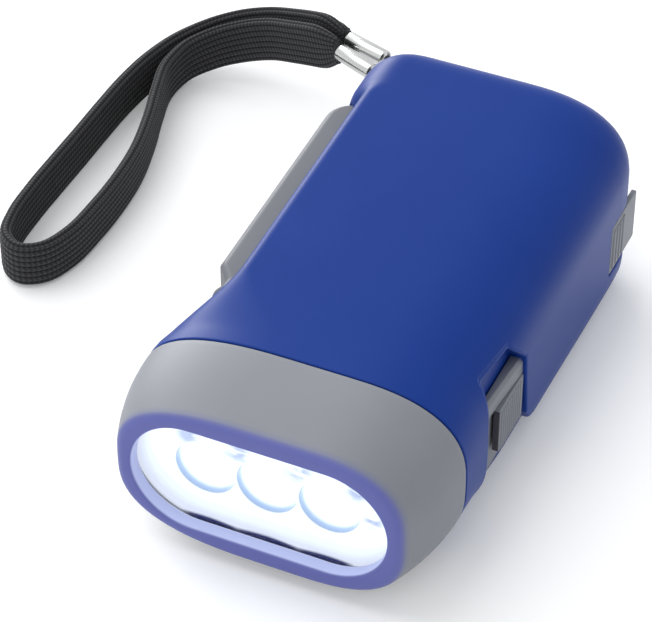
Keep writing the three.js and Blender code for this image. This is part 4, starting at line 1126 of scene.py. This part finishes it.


# %% [markdown]
# The milky plastic is the bezel's grey with two tints of painted lamp light mixed in. The glow also gives
# a little light of its own, so the opening's wall stays bright in the shade of the rim.


# %% Milky plastic with painted lamp light
def lit_plastic(name, rim_tint, glow_tint, strength):
    """The grey plastic with the lamps' light painted into it."""
    material = hard_material(name, *grey_tones, rough=grey_rough, Specular_IOR_Level=0.35,
                             Emission_Strength=strength)
    tree = material.node_tree
    shader = tree.nodes["Principled BSDF"]
    plain = shader.inputs["Base Color"].links[0].from_node
    rim = add_node(tree, "ShaderNodeAttribute", attribute_name="rim")
    glow = add_node(tree, "ShaderNodeAttribute", attribute_name="glow")
    part = math_node(tree, "MULTIPLY", 0.92)
    violet = colour_mix(tree, rim_tint)
    bright = colour_mix(tree, glow_tint)
    shine = colour_mix(tree, glow_tint, (0, 0, 0))
    wire(tree, rim, part, "Fac", 0)
    wire(tree, part, violet, 0, 0)
    wire(tree, plain, violet, 2, 6)
    wire(tree, glow, bright, "Fac", 0)
    wire(tree, violet, bright, 2, 6)
    wire(tree, bright, shader, 2, "Base Color")
    wire(tree, glow, shine, "Fac", 0)
    wire(tree, shine, shader, 2, "Emission Color")
    return material


bezel.data.materials.append(lit_plastic("lit_grey_plastic", (88, 94, 166), (178, 186, 224), 0.34))
finish_piece(mark_light(bezel), "case", "grey_plastic", "bezel")

# %% [markdown]
# The window is a clear flat plate, set back behind the opening, with its edges eased as those of a
# moulded plate are. It is a skin through four loops with round ends, which is simpler here than
# bevelling a cut plate, and its clear plastic lets the light through.

# %% Window
window_y, window_thick = 3.0, 1.4
glass_width, glass_height = 48.5, 24.0


def window_rings():
    """The window's loops, with both edges eased."""
    ease = 0.25
    small = (glass_width - 2 * ease, glass_height - 2 * ease)
    back = window_y + window_thick
    return [stadium(*small, window_y), stadium(glass_width, glass_height, window_y + ease),
            stadium(glass_width, glass_height, back - ease), stadium(*small, back)]


window = new_object("window", *skin(window_rings()))
soften(window, 20)
clear = hard_material("clear", (238, 243, 252), (246, 249, 255), (250, 252, 255), rough=(0.02, 0.06),
                      grain=(200.0, 0.02), Transmission_Weight=1.0, IOR=1.46)
window.data.materials.append(clear)
finish_piece(window, "case", "clear_plastic", "lens")

# %% [markdown]
# Behind the window stand three bright bowls in one piece, each with a round-nosed lamp through its
# middle. Both are turned shapes, so a profile is spun about each lamp's axis. The bowls are cut from
# a plate in that way, and a lamp is the spun body itself.

# %% Reflector and lamps
reflector_y, reflector_depth = 4.7, 6.8
cup_radius, cup_pitch, lamp_radius = 5.4, 11.3, 2.5
lamp_places = [-cup_pitch, 0.0, cup_pitch]


def lathe(name, profile, x, sides=64):
    """A turned body about the lamp's axis. The profile runs in (radius, y) steps."""
    turns = [2 * math.pi * j / sides for j in range(sides)]
    rings = [[(x + r * math.cos(a), y, head_axis + r * math.sin(a)) for a in turns] for r, y in profile]
    return new_object(name, *skin(rings))


def bowl_profile():
    """The inside of a cup, from ahead of the plate to behind it."""
    mouth = cup_radius + 0.25
    steps = [(mouth, reflector_y - 1), (mouth, reflector_y), (cup_radius, reflector_y + 0.3)]
    for t in np.linspace(0.06, 1, 14):
        radius = mix(cup_radius, lamp_radius + gap, t ** 2)
        steps.append((radius, reflector_y + 0.3 + t * (reflector_depth - 1.3)))
    return steps + [(lamp_radius + gap, reflector_y + reflector_depth + 1)]


plate_ends = (reflector_y, reflector_y + reflector_depth)
plate = new_object("plate", *skin([stadium(glass_width, glass_height, y) for y in plate_ends]))
bowls = carved("bowls", plate, [("DIFFERENCE", lathe("cutter", bowl_profile(), x)) for x in lamp_places])
soften(bowls, 30)
print("bowls:", len(bowls.data.polygons), "faces")


def lamp_profile():
    """The outside of a lamp, from the nose to the flange."""
    front = window_y + window_thick + 2 * gap
    base = reflector_y + reflector_depth + gap
    nose = [(max(lamp_radius * math.sin(a), 0.02), front + lamp_radius * (1 - math.cos(a)))
            for a in np.linspace(0, math.pi / 2, 12)]
    return nose + [(lamp_radius, base), (2.9, base), (2.9, base + 1.0)]


def mark_rings(made, radius):
    """Stores each point's distance from the nearest lamp's axis, as a share of a radius."""
    ring = made.data.attributes.new("ring", "FLOAT", "POINT")
    for i, vertex in enumerate(made.data.vertices):
        x, z = vertex.co.x * 1000, vertex.co.z * 1000 - head_axis
        ring.data[i].value = min(math.hypot(x - place, z) for place in lamp_places) / radius
    return made


# %% [markdown]
# The lamps are on, so everything behind the window is nearly white: the reflector's glow is painted lamp
# light. What is left to see are faint bluish outlines of the cups and lamps, which are painted shade,
# a thin dark blue line in three arcs along the lower edge, which is the bezel's shadow painted where
# the cups' rims meet it, and a few grey patches near the top, which are a painted reflection of the
# room in the clear window. Each of the three is drawn by a few nodes, over the reflector's glow. The
# outlines come first: a ramp by the distance from the nearest lamp's axis.


# %% Painted shade outlines of the cups
def ramp(tree, stops):
    """A colour ramp from (place, colour) stops."""
    node = tree.nodes.new("ShaderNodeValToRGB")
    points = node.color_ramp.elements
    while len(points) < len(stops):
        points.new(0.5)
    for point, (place, colour) in zip(points, stops):
        point.position = place
        point.color = linear(*colour)
    return node


cup_shade_stops = [
    (0.0, (250, 252, 255)), (0.35, (250, 252, 255)), (0.385, (140, 158, 176)), (0.42, (244, 248, 252)),
    (0.69, (238, 244, 250)), (0.709, (150, 166, 182)), (0.718, (138, 156, 174)),
    (0.738, (242, 246, 251)), (1.0, (248, 250, 253)),
]


def painted_cup_outlines(tree):
    """The glow's colour: pale, with a thin ring of painted shade round each lamp and each cup."""
    ring = add_node(tree, "ShaderNodeAttribute", attribute_name="ring")
    share = math_node(tree, "DIVIDE", 1.4)
    cups = ramp(tree, cup_shade_stops)
    wire(tree, ring, share, "Fac", 0)
    wire(tree, share, cups, 0, "Fac")
    return cups


# %% [markdown]
# The painted shadow line follows the size of a cosine that repeats with the cups, so it makes one low
# arch for each of them. Whatever lies below the line is painted dark, as the bezel's shadow.


# %% Painted shadow line
def painted_shadow_arcs(tree, place):
    """1 below the painted shadow line along the lower edge, and 0 over it."""
    parts = add_node(tree, "ShaderNodeSeparateXYZ")
    turn = math_node(tree, "MULTIPLY", math.pi / (cup_pitch / 1000))
    wave = math_node(tree, "COSINE")
    arc = math_node(tree, "ABSOLUTE")
    raised = math_node(tree, "MULTIPLY_ADD", -0.0005)
    edge = add_node(tree, "ShaderNodeMapRange", From_Min=0.00585, From_Max=0.0052)
    wire(tree, place, parts, "Object", 0)
    wire(tree, parts, turn, "X", 0)
    wire(tree, turn, wave)
    wire(tree, wave, arc)
    wire(tree, arc, raised)
    wire(tree, parts, raised, "Z", 2)
    wire(tree, raised, edge, 0, "Value")
    return edge


# %% [markdown]
# The painted reflections are a noise that is stretched sideways. They are kept to five places, each
# given by its spot in the window and its reach.

# %% Painted reflections
painted_reflection_spots = [(-14.5, 23.6, 2.6), (-5.4, 23.4, 3.2), (5.8, 23.4, 3.2), (16.2, 22.6, 2.4),
                 (19.2, 17.4, 2.2)]


def near_places(tree, place):
    """1 at the five painted reflections, falling to 0 around them."""
    flat = add_node(tree, "ShaderNodeVectorMath", operation="MULTIPLY")
    flat.inputs[1].default_value = (1, 0, 1)
    wire(tree, place, flat, "Object", 0)
    spots = None
    for x, z, reach in painted_reflection_spots:
        away = add_node(tree, "ShaderNodeVectorMath", operation="DISTANCE")
        away.inputs[1].default_value = (x / 1000, 0, z / 1000)
        near = add_node(tree, "ShaderNodeMapRange", From_Min=reach / 1000, From_Max=0.35 * reach / 1000)
        wire(tree, flat, away)
        wire(tree, away, near, "Value", "Value")
        if spots:
            both = math_node(tree, "MAXIMUM")
            wire(tree, spots, both, 0, 0)
            wire(tree, near, both, 0, 1)
            near = both
        spots = near
    return spots


def painted_reflections(tree, place):
    """How strong the painted grey reflections are."""
    streaks = add_node(tree, "ShaderNodeMapping", Scale=(170, 1, 420))
    cloud = add_node(tree, "ShaderNodeTexNoise", Scale=1.0, Detail=3.0)
    patch = add_node(tree, "ShaderNodeMapRange", From_Min=0.44, From_Max=0.54)
    reflection_strength = math_node(tree, "MULTIPLY")
    wire(tree, place, streaks, "Object", "Vector")
    wire(tree, streaks, cloud, 0, "Vector")
    wire(tree, cloud, patch, 0, "Value")
    wire(tree, patch, reflection_strength, "Result", 0)
    wire(tree, near_places(tree, place), reflection_strength, 0, 1)
    return reflection_strength


# %% [markdown]
# The reflector is metallised plastic, and its glow is painted lamp light. Its own colour is darkened by
# the painted shade outlines too, so that they stay when lamps light it. A lamp that is on is white over
# its nose, and a little bluer and dimmer down its flanks.


# %% Lit materials
def reflector_shine():
    """Bright metallised plastic, with its lamps' light painted on as a glow."""
    material = hard_material("bowl_shine", (206, 211, 222), (222, 227, 236), (236, 240, 246),
                             rough=(0.16, 0.26), grain=(1500.0, 0.05), Metallic=0.6,
                             Emission_Strength=0.8)
    tree = material.node_tree
    shader = tree.nodes["Principled BSDF"]
    plain = shader.inputs["Base Color"].links[0].from_node
    place = add_node(tree, "ShaderNodeTexCoord")
    cups = painted_cup_outlines(tree)
    edge = painted_shadow_arcs(tree, place)
    drawn = add_node(tree, "ShaderNodeMix", data_type="RGBA", blend_type="MULTIPLY")
    drawn.inputs[0].default_value = 1.0
    # Grey-blue painted reflection of the room, then the dark blue painted shadow along the lower edge.
    with_reflections = colour_mix(tree, (84, 102, 144))
    shadow_lined = colour_mix(tree, (16, 20, 84))
    base = colour_mix(tree, (24, 30, 96))
    wire(tree, plain, drawn, 2, 6)
    wire(tree, cups, drawn, 0, 7)
    wire(tree, painted_reflections(tree, place), with_reflections, 0, 0)
    wire(tree, cups, with_reflections, 0, 6)
    wire(tree, edge, shadow_lined, "Result", 0)
    wire(tree, with_reflections, shadow_lined, 2, 6)
    wire(tree, shadow_lined, shader, 2, "Emission Color")
    wire(tree, edge, base, "Result", 0)
    wire(tree, drawn, base, 2, 6)
    wire(tree, base, shader, 2, "Base Color")
    return material


def lamp_light():
    """A lamp that is on."""
    material = hard_material("lamp_glow", (230, 238, 250), (240, 245, 252), (250, 252, 255),
                             rough=(0.1, 0.2), grain=(1500.0, 0.05), Emission_Strength=1.0)
    tree = material.node_tree
    shader = tree.nodes["Principled BSDF"]
    ring = add_node(tree, "ShaderNodeAttribute", attribute_name="ring")
    tint = ramp(tree, [(0.0, (255, 255, 255)), (0.7, (248, 251, 255)), (0.93, (212, 224, 238)),
                       (1.0, (140, 162, 186))])
    wire(tree, ring, tint, "Fac", "Fac")
    wire(tree, tint, shader, 0, "Emission Color")
    return material


# %% [markdown]
# The bowls and the three lamps get their finish. Each point is first marked with its distance from
# the nearest lamp's axis, which the painted shade outlines are drawn by.

# %% Bowls and lamps in place
lamp_glow = lamp_light()
bowls.data.materials.clear()
bowls.data.materials.append(reflector_shine())
finish_piece(mark_rings(bowls, cup_radius), "case", "metallised_plastic", "reflector")
for number, x in enumerate(lamp_places):
    lamp = soften(lathe(f"lamp_{number + 1}", lamp_profile(), x, 40), 40)
    lamp.data.materials.append(lamp_glow)
    finish_piece(mark_rings(lamp, lamp_radius), "case", "clear_plastic", f"led_{number + 1}")


# %% [markdown]
# The lever is a channel of grey plastic, open towards the case. Its outer edges are rounded, its
# tail end turns in, and at the front it narrows to a tongue that wraps the hinge pin. A bevelled box
# comes near, but the back leans outwards towards the tail, so it is a skin through upright sections.
# Inside it carries a toothed arc for the first gear and a tab that the lock's hook catches.

# %% Lever
lever_stations = [pin_y, 34.0, 36.4, 36.8, 37.9, 39.0, 39.8, 40.3, 50, 60, 70, 80, 84]
rear_turns = np.linspace(0, math.pi / 2, 12)
bend_y, bend = 86.5, 4.5
knuckle = 3.5
lever_edge, lever_rim = 1.5, 1.6


def lever_outer(y, inset):
    """How far out the lever's back stands at y."""
    tongue = -pin_x + knuckle
    t = min(max((y - 36.4) / 3.4, 0.0), 1.0)
    plate_out = mix(25.7, 27.0, (y - 39.8) / 51.2)
    into = min(max(y + inset - bend_y, 0.0), bend)
    return mix(tongue, plate_out, t) - inset - (bend - math.sqrt(bend ** 2 - into ** 2))


def lever_ring(y, inset, inner):
    """An upright section of the lever with rounded outer corners."""
    out = lever_outer(y, inset)
    radius = max(lever_edge - inset, gap)
    low = sill_z + (lever_rim if inset else 0)
    high = lever_top - (lever_rim if inset else 0)
    turns = np.linspace(0, math.pi / 2, 9)
    ring = [(inner, y, high)]
    for a in turns[::-1]:
        ring.append((-(out - radius + radius * math.cos(a)), y, high - radius + radius * math.sin(a)))
    for a in turns:
        ring.append((-(out - radius + radius * math.cos(a)), y, low + radius - radius * math.sin(a)))
    return ring + [(inner, y, low)]


# %% [markdown]
# The teeth are true gear teeth, because the arc really drives the first pinion. A tooth's flank is an
# involute: the way the end of a taut thread goes when it is unwound from a drum.


# %% Toothed arc
arc_teeth, arc_radius = 100, 40
tooth_tip, tooth_root = 0.64, 0.88


def tooth_points(teeth, middle):
    """One tooth of a 0.8 mm module gear about an angle, as (x, y) about the gear's centre."""
    pitch = 0.4 * teeth
    base = pitch * math.cos(math.radians(25))
    tip = pitch + tooth_tip
    root = pitch - tooth_root

    def involute(radius):
        turn = math.acos(min(base / radius, 1))
        return math.tan(turn) - turn

    half = math.pi / (2 * teeth) - 0.07 / pitch
    flank = []
    for r in np.linspace(max(base, root), tip, 5):
        flank.append((r, half + involute(pitch) - involute(max(r, base))))
    if root < base:
        flank = [(root, flank[0][1])] + flank
    rising = [(r, middle - a) for r, a in flank]
    falling = [(r, middle + a) for r, a in reversed(flank)]
    return [(r * math.cos(a), r * math.sin(a)) for r, a in rising + falling]


def toothed_arc():
    """The lever's toothed arc about its pin."""
    pitch = 2 * math.pi / arc_teeth
    contact = math.radians(65)
    root = arc_radius - tooth_root
    low = root - 3.5
    teeth = [spot for i in range(-7, 3) for spot in tooth_points(arc_teeth, contact + i * pitch)]
    start, last, end = contact - 7.5 * pitch, contact + 2.5 * pitch, math.radians(99)
    plain = [(root * math.cos(a), root * math.sin(a)) for a in np.linspace(last, end, 20)]
    back = [(low * math.cos(a), low * math.sin(a)) for a in np.linspace(end, start, 40)]
    points = [(root * math.cos(start), root * math.sin(start))] + teeth + plain + back
    return prism([(x + pin_x, y + pin_y) for x, y in points], "z", 12, 15)


# %% [markdown]
# The channel is two skins, one cut from the other, and what it carries is added as plain bodies: the
# knuckle round the pin, the arc and the lock's tab. The tab's bar stands on the back near the tail
# and turns forward.


# %% Whole lever
def lever_piece():
    """The whole lever as one closed mesh."""
    outer_places = lever_stations + [bend_y + bend * math.sin(a) for a in rear_turns]
    inner_places = [39.8, 60, 80] + [84.7 + bend * math.sin(a) for a in rear_turns]
    channel = new_object("lever", *skin([lever_ring(y, 0, -18.6) for y in outer_places]))
    hollow = new_object("cutter", *skin([lever_ring(y, wall, -17.6) for y in inner_places]))
    window_space = carved("window_space", block(-24.6, -14.4, 26.9, 36.4, 14.25, 21.25),
                          [("DIFFERENCE", block(-60, -22.2, 31, 37.1, 5.5, 30))])
    bearing = rod(knuckle, pin_x, pin_y, sill_z, lever_top, 72)
    tab_bar = block(-26.1, -12.8, 86, 88, 12, 15)
    tab_end = block(-14.8, -12.8, 82.5, 88, 12, 15)
    hole = rod(pin_hole, pin_x, pin_y, 4, 31)
    steps = [("DIFFERENCE", hollow), ("UNION", bearing), ("UNION", toothed_arc()), ("UNION", tab_bar),
             ("UNION", tab_end), ("DIFFERENCE", window_space), ("DIFFERENCE", hole)]
    return carved("squeeze_lever", channel, steps)


lever = soften(lever_piece(), 30)
lever.data.materials.clear()
lever.data.materials.append(lever_plastic)
finish_piece(lever, "lever", "grey_plastic", "lever")

# %% [markdown]
# The thumb switch is a ribbed pad that slides on a bevelled plate in its pocket, and the lock is a
# second pad near the tail with ribs on its front half only. An Array modifier could set the ribs.
# A Geometry Nodes tree is used, a line of points with one rib on each, because it takes its piece,
# count and step by name, and both pads share it.


# %% Row of copies
def row_tree():
    """A node tree that sets a piece along a straight line."""
    tree = bpy.data.node_groups.new("row of copies", "GeometryNodeTree")
    face = tree.interface
    face.new_socket(name="Geometry", in_out="INPUT", socket_type="NodeSocketGeometry")
    face.new_socket(name="Piece", in_out="INPUT", socket_type="NodeSocketObject")
    face.new_socket(name="Count", in_out="INPUT", socket_type="NodeSocketInt")
    face.new_socket(name="Start", in_out="INPUT", socket_type="NodeSocketVector")
    face.new_socket(name="Step", in_out="INPUT", socket_type="NodeSocketVector")
    face.new_socket(name="Material", in_out="INPUT", socket_type="NodeSocketMaterial")
    face.new_socket(name="Geometry", in_out="OUTPUT", socket_type="NodeSocketGeometry")
    given = tree.nodes.new("NodeGroupInput")
    result = tree.nodes.new("NodeGroupOutput")
    line = tree.nodes.new("GeometryNodeMeshLine")
    piece = tree.nodes.new("GeometryNodeObjectInfo")
    copies = tree.nodes.new("GeometryNodeInstanceOnPoints")
    real = tree.nodes.new("GeometryNodeRealizeInstances")
    paint = tree.nodes.new("GeometryNodeSetMaterial")
    wire(tree, given, line, "Count", "Count")
    wire(tree, given, line, "Start", "Start Location")
    wire(tree, given, line, "Step", "Offset")
    wire(tree, given, piece, "Piece", "Object")
    wire(tree, line, copies, "Mesh", "Points")
    wire(tree, piece, copies, "Geometry", "Instance")
    wire(tree, copies, real, "Instances", "Geometry")
    wire(tree, real, paint, "Geometry", "Geometry")
    wire(tree, given, paint, "Material", "Material")
    wire(tree, paint, result, "Geometry", "Geometry")
    return tree


# %% [markdown]
# The tree is put on an empty host, and the result is taken as a plain mesh, like a cut piece.

# %% Copies as a mesh
copies_in_row = row_tree()
print("nodes for a row:", len(copies_in_row.nodes))


def row_of(name, piece, count, start, step, material):
    """count copies of piece from start, each a step on, as one plain mesh."""
    host = bpy.data.objects.new("host", bpy.data.meshes.new("host"))
    bpy.context.scene.collection.objects.link(host)
    modifier = host.modifiers.new("copies", "NODES")
    modifier.node_group = copies_in_row
    given = {"Piece": piece, "Count": count, "Start": start, "Step": step, "Material": material}
    for socket in copies_in_row.interface.items_tree:
        if socket.in_out == "INPUT" and socket.name in given:
            modifier[socket.identifier] = given[socket.name]
    graph = bpy.context.evaluated_depsgraph_get()
    mesh = bpy.data.meshes.new_from_object(host.evaluated_get(graph))
    for face in mesh.polygons:
        face.material_index = 0
    made = bpy.data.objects.new(name, mesh)
    bpy.context.scene.collection.objects.link(made)
    bpy.data.objects.remove(host)
    bpy.data.objects.remove(piece)
    return made


# %% [markdown]
# Both pads are one idea: a rounded outline drawn out, with the edge of its face rolled over. A bevel
# would do it too, but the loops keep the ribs' places plain. The narrow sides face the pocket's wall
# and get a darker grey, which is painted shade.


# %% Pads and ribs
def widened(loop, by):
    """The outline's points moved outwards."""
    return [tuple(point + normal * by) for point, normal in loop]


def pad_rings(x0, x1, loop, edge):
    """Loops from a pad's back to its face, with the face's edge rolled."""
    rings = [[(x0, *spot) for spot in widened(loop, 0)]]
    for turn in np.linspace(0, math.pi / 2, 6):
        inset = edge * (1 - math.cos(turn))
        rings.append([(x1 - edge + edge * math.sin(turn), *spot) for spot in widened(loop, -inset)])
    return rings


def painted_shade_sides(pad):
    """Gives the pad's narrow sides the second material, painted shade, save the one on top."""
    for face in pad.data.polygons:
        face.material_index = 0 if max(face.normal.x, face.normal.z) > 0.5 else 1
    return pad


def ribs(name, x, y0, pitch, count, z0, z1, material):
    """A row of upright ribs with round crowns."""
    half = pitch * 0.27
    loop = rounded([(-half, z0), (half, z0), (half, z1), (-half, z1)], half * 0.9, 4, 4.0)
    rings = pad_rings(-0.3, 0.3, loop, 0.2)
    centred = [[(px, py + case_length / 2, pz) for px, py, pz in ring] for ring in rings]
    piece = new_object("rib", *skin(centred))
    start = (x / 1000, (y0 - case_length / 2) / 1000, 0)
    return row_of(name, piece, count, start, (0, pitch / 1000, 0), material)


def pad_piece(name, parts):
    """Parts joined as one pad, grey with painted shade on its sides."""
    made = soften(joined(name, parts), 35)
    made.data.materials.append(grey_plastic)
    made.data.materials.append(painted_shade_plastic)
    return made


# %% [markdown]
# The knob has ribs over its whole face, and a stem that goes through the slot to the switch inside.

# %% Thumb switch
knob_loop = rounded([(36.1, 8.7), (47.0, 8.7), (47.0, 18.3), (36.1, 18.3)], 0.5, 6)
knob_body = painted_shade_sides(new_object("knob", *skin(pad_rings(27.4, 28.6, knob_loop, 0.22))))
knob_stem = block(24.2, 27.7, 42.0, 46.0, 11.7, 15.1)
knob_ribs = ribs("ribs", 28.6, 36.8, 0.95, 10, 9.1, 17.9, grey_plastic)
knob = pad_piece("thumb_switch", [knob_body, knob_stem, knob_ribs])
finish_piece(knob, "switch", "grey_plastic", "switch_knob")

# %% [markdown]
# The lock's pad has a back that slides in its pocket, and a bent bar of four blocks that reaches
# across the case to the lever's tab.

# %% Lock
lock_pad_loop = rounded([(88.6, 8.7), (101.5, 8.7), (101.5, 19.5), (88.6, 19.5)], 0.5, 6)
lock_pad = painted_shade_sides(new_object("pad", *skin(pad_rings(28.6, 29.5, lock_pad_loop, 0.22))))
lock_back = painted_shade_sides(block(27.8, 28.8, 89.4, 101.2, 9.3, 17.2))
lock_ribs = ribs("ribs", 29.5, 89.8, 1.6, 4, 9.5, 18.7, grey_plastic)
lock_bars = [block(-11.4, 28.1, 89.2, 91.7, 12.5, 15.5), block(-11.4, -9.4, 76.5, 91.7, 12.5, 15.5),
             block(-17.2, -9.4, 76.5, 78.5, 12.5, 15.5), block(-17.2, -15.2, 76.5, 81.8, 12.5, 15.5)]
lock_arm = carved("arm", lock_bars[0], [("UNION", bar) for bar in lock_bars[1:]])
lock = pad_piece("lever_lock", [lock_pad, lock_back, lock_arm, lock_ribs])
finish_piece(lock, "lock", "grey_plastic", "lock_slider")


# %% [markdown]
# The plate behind the knob is flat, with a rail along its top that the knob slides under. The rail
# gets thicker towards the rear, so it is a skin through sections, and a small bevel eases all edges.


# %% Switch plate
rail_front, rail_rear, rail_back = 30.6, 47.3, 26.2
rail_low, rail_high = 18.6, 21.9


def rail_ring(y):
    """A section of the rail over the thumb switch. It stands out further towards the rear."""
    out = mix(27.4, 28.5, (y - rail_front) / 16.7)
    return [(rail_back, y, rail_low), (out, y, rail_low), (out, y, 21.2), (out - 0.55, y, rail_high),
            (rail_back, y, rail_high)]


def switch_plate_piece():
    """The plate behind the thumb switch, with the rail it slides under and the slot of its stem."""
    plate_body = block(26.3, 26.9, rail_front, 47.1, 4.5, 20.7)
    rail = new_object("rail", *skin([rail_ring(y) for y in (rail_front, 36, 42, rail_rear)]))
    slot = block(26, 60, *stem_slot)
    made = carved("switch_track", plate_body, [("UNION", rail), ("DIFFERENCE", slot)])
    bevel = made.modifiers.new("ease", "BEVEL")
    bevel.width = 0.00018
    bevel.segments = 3
    bevel.limit_method = "ANGLE"
    return carved("switch_track", made, [])


track = soften(switch_plate_piece(), 35)
track.data.materials.clear()
track.data.materials.append(grey_plastic)
finish_piece(track, "case", "grey_plastic", "switch_plate")

# %% [markdown]
# Four screws hold the case together from below. Their heads sit in round wells and have a cross
# recess for the driver. A screw is a turned profile, and two crossed blocks cut the recess, because
# a spun shape can't have its flat walls. The thread is hidden and left out.


# %% Case screws
head_radius, head_height = 2.2, 1.4
shank_radius, shank_top = 1.1, 16.0
arm_reach, arm_half, arm_depth = 1.25, 0.26, 0.75


def cross_screw(name, x, y, head):
    """A screw from below: a rounded flat head with a cross recess, and its shank."""
    under = head + head_height
    profile = [(1.9, head), (2.1, head + 0.08), (head_radius, head + 0.28), (head_radius, under),
               (shank_radius, under), (shank_radius, shank_top)]
    turns = [2 * math.pi * i / 48 for i in range(48)]
    rings = [[(x + r * math.cos(a), y + r * math.sin(a), z) for a in turns] for r, z in profile]
    arms = [block(x - wide, x + wide, y - long, y + long, head - 1, head + arm_depth)
            for wide, long in ((arm_reach, arm_half), (arm_half, arm_reach))]
    body = new_object("screw", *skin(rings))
    made = soften(carved(name, body, [("DIFFERENCE", arm) for arm in arms]), 30)
    made.data.materials.clear()
    made.data.materials.append(steel)
    return made


for number, (x, y, head) in enumerate(screw_spots, 1):
    finish_piece(cross_screw(f"screw_{number}", x, y, head), "case", "steel", f"case_screw_{number}")


# %% [markdown]
# What is inside stays as the drawing has it, because it shows only when the lever is out and finer
# meshes would add little. Each piece gets a material of its own: moulded gears, steel axles and
# core, a dark magnet, green boards and bright cells.

# %% Inside pieces
inside = {
    "lever_pin": steel, "lever_spring": steel, "drive_axle": steel, "second_axle": steel,
    "rotor_axle": steel, "stator_core": steel, "flywheel": steel, "strap_post": steel,
    "plate_screw_1": steel, "plate_screw_2": steel, "plate_screw_3": steel,
    "drive_gear": gear_plastic, "second_gear": gear_plastic, "rotor_pinion": gear_plastic,
    "gear_plate": dark_plastic, "cell_holder": dark_plastic, "switch_unit": dark_plastic,
    "led_board": board_green, "circuit_board": board_green, "rotor_magnet": ferrite,
    "generator_coil": copper, "button_cell_1": chrome, "button_cell_2": chrome,
}
for name, material in inside.items():
    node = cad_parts[name]
    node.data.materials.clear()
    node.data.materials.append(material)
print("inside pieces with their own material:", len(inside))

# %% [markdown]
# The photograph's background is plain white, with one soft shadow. A white floor keeps the shadow.
# It looks a little whiter to the camera than the lamps make it: a faint glow that only the camera
# and the shiny surfaces see, so it doesn't light the object.


# %% Floor
def seen_rays(tree):
    """1 for what the camera, a shiny surface or the window sees, and 0 for plain lighting."""
    path = add_node(tree, "ShaderNodeLightPath")
    shiny = math_node(tree, "MAXIMUM")
    seen = math_node(tree, "MAXIMUM")
    wire(tree, path, shiny, "Is Glossy Ray", 0)
    wire(tree, path, shiny, "Is Transmission Ray", 1)
    wire(tree, path, seen, "Is Camera Ray", 0)
    wire(tree, shiny, seen, 0, 1)
    return seen


floor_reach, floor_lift = 4, 0.15
floor_paint, ground, floor_shader = new_material("floor", Base_Color=(0.95, 0.95, 0.95, 1), Roughness=0.9,
                                                 Specular_IOR_Level=0.1)
lift = add_node(ground, "ShaderNodeEmission")
lift_part = math_node(ground, "MULTIPLY", floor_lift)
lift_sum = add_node(ground, "ShaderNodeAddShader")
wire(ground, seen_rays(ground), lift_part, 0, 0)
wire(ground, lift_part, lift, 0, "Strength")
wire(ground, floor_shader, lift_sum, 0, 0)
wire(ground, lift, lift_sum, 0, 1)
wire(ground, lift_sum, ground.nodes["Material Output"], 0, 0)

floor_mesh = bpy.data.meshes.new("floor")
floor_corners = [(x * floor_reach, y * floor_reach, 0) for x, y in ((-1, -1), (1, -1), (1, 1), (-1, 1))]
floor_mesh.from_pydata(floor_corners, [], [(0, 1, 2, 3)])
floor = bpy.data.objects.new("floor", floor_mesh)
bpy.context.scene.collection.objects.link(floor)
floor_mesh.materials.append(floor_paint)
print("floor:", 2 * floor_reach, "m wide")

# %% [markdown]
# The surround is the world itself. It gives the object a soft sky light, and the camera, the metal
# and the window see it as plain white.

# %% Surround
world = bpy.data.worlds.new("studio")
bpy.context.scene.world = world
world.use_nodes = True
air = world.node_tree
sky = air.nodes["Background"]
sky.inputs["Color"].default_value = (0.96, 0.98, 1.0, 1)
sky.inputs["Strength"].default_value = 0.66
white = add_node(air, "ShaderNodeBackground")
white.inputs["Color"].default_value = (1, 1, 1, 1)
white.inputs["Strength"].default_value = 1.0
choice = add_node(air, "ShaderNodeMixShader")
wire(air, seen_rays(air), choice, 0, 0)
wire(air, sky, choice, 0, 1)
wire(air, white, choice, 0, 2)
wire(air, choice, air.nodes["World Output"], 0, 0)
print("surround:", len(air.nodes), "nodes")


# %% [markdown]
# Three broad lamps stand round the object. Small ones would give hard shadows, which the photograph
# doesn't have. The main one hangs on the left, so the left edges are brightest and the shadow falls
# to the right. The one behind puts the sheen on the rear corner, and a weak one fills the front.


# %% Lamps
def softbox(name, place, aim, size, power):
    """A square area lamp turned to a point."""
    data = bpy.data.lights.new(name, "AREA")
    data.size = size
    data.energy = power
    lamp = bpy.data.objects.new(name, data)
    lamp.location = place
    lamp.rotation_euler = (Vector(aim) - Vector(place)).to_track_quat("-Z", "Y").to_euler()
    bpy.context.scene.collection.objects.link(lamp)
    return lamp


softbox("key", (-0.8, 0.1, 1.5), (0, 0, 0), 1.4, 13)
softbox("rear", (-1.2, 1.1, 0.45), (0, 0, 0), 0.8, 15)
softbox("front", (-0.2, -1.3, 0.9), (0, 0, 0), 0.9, 4)
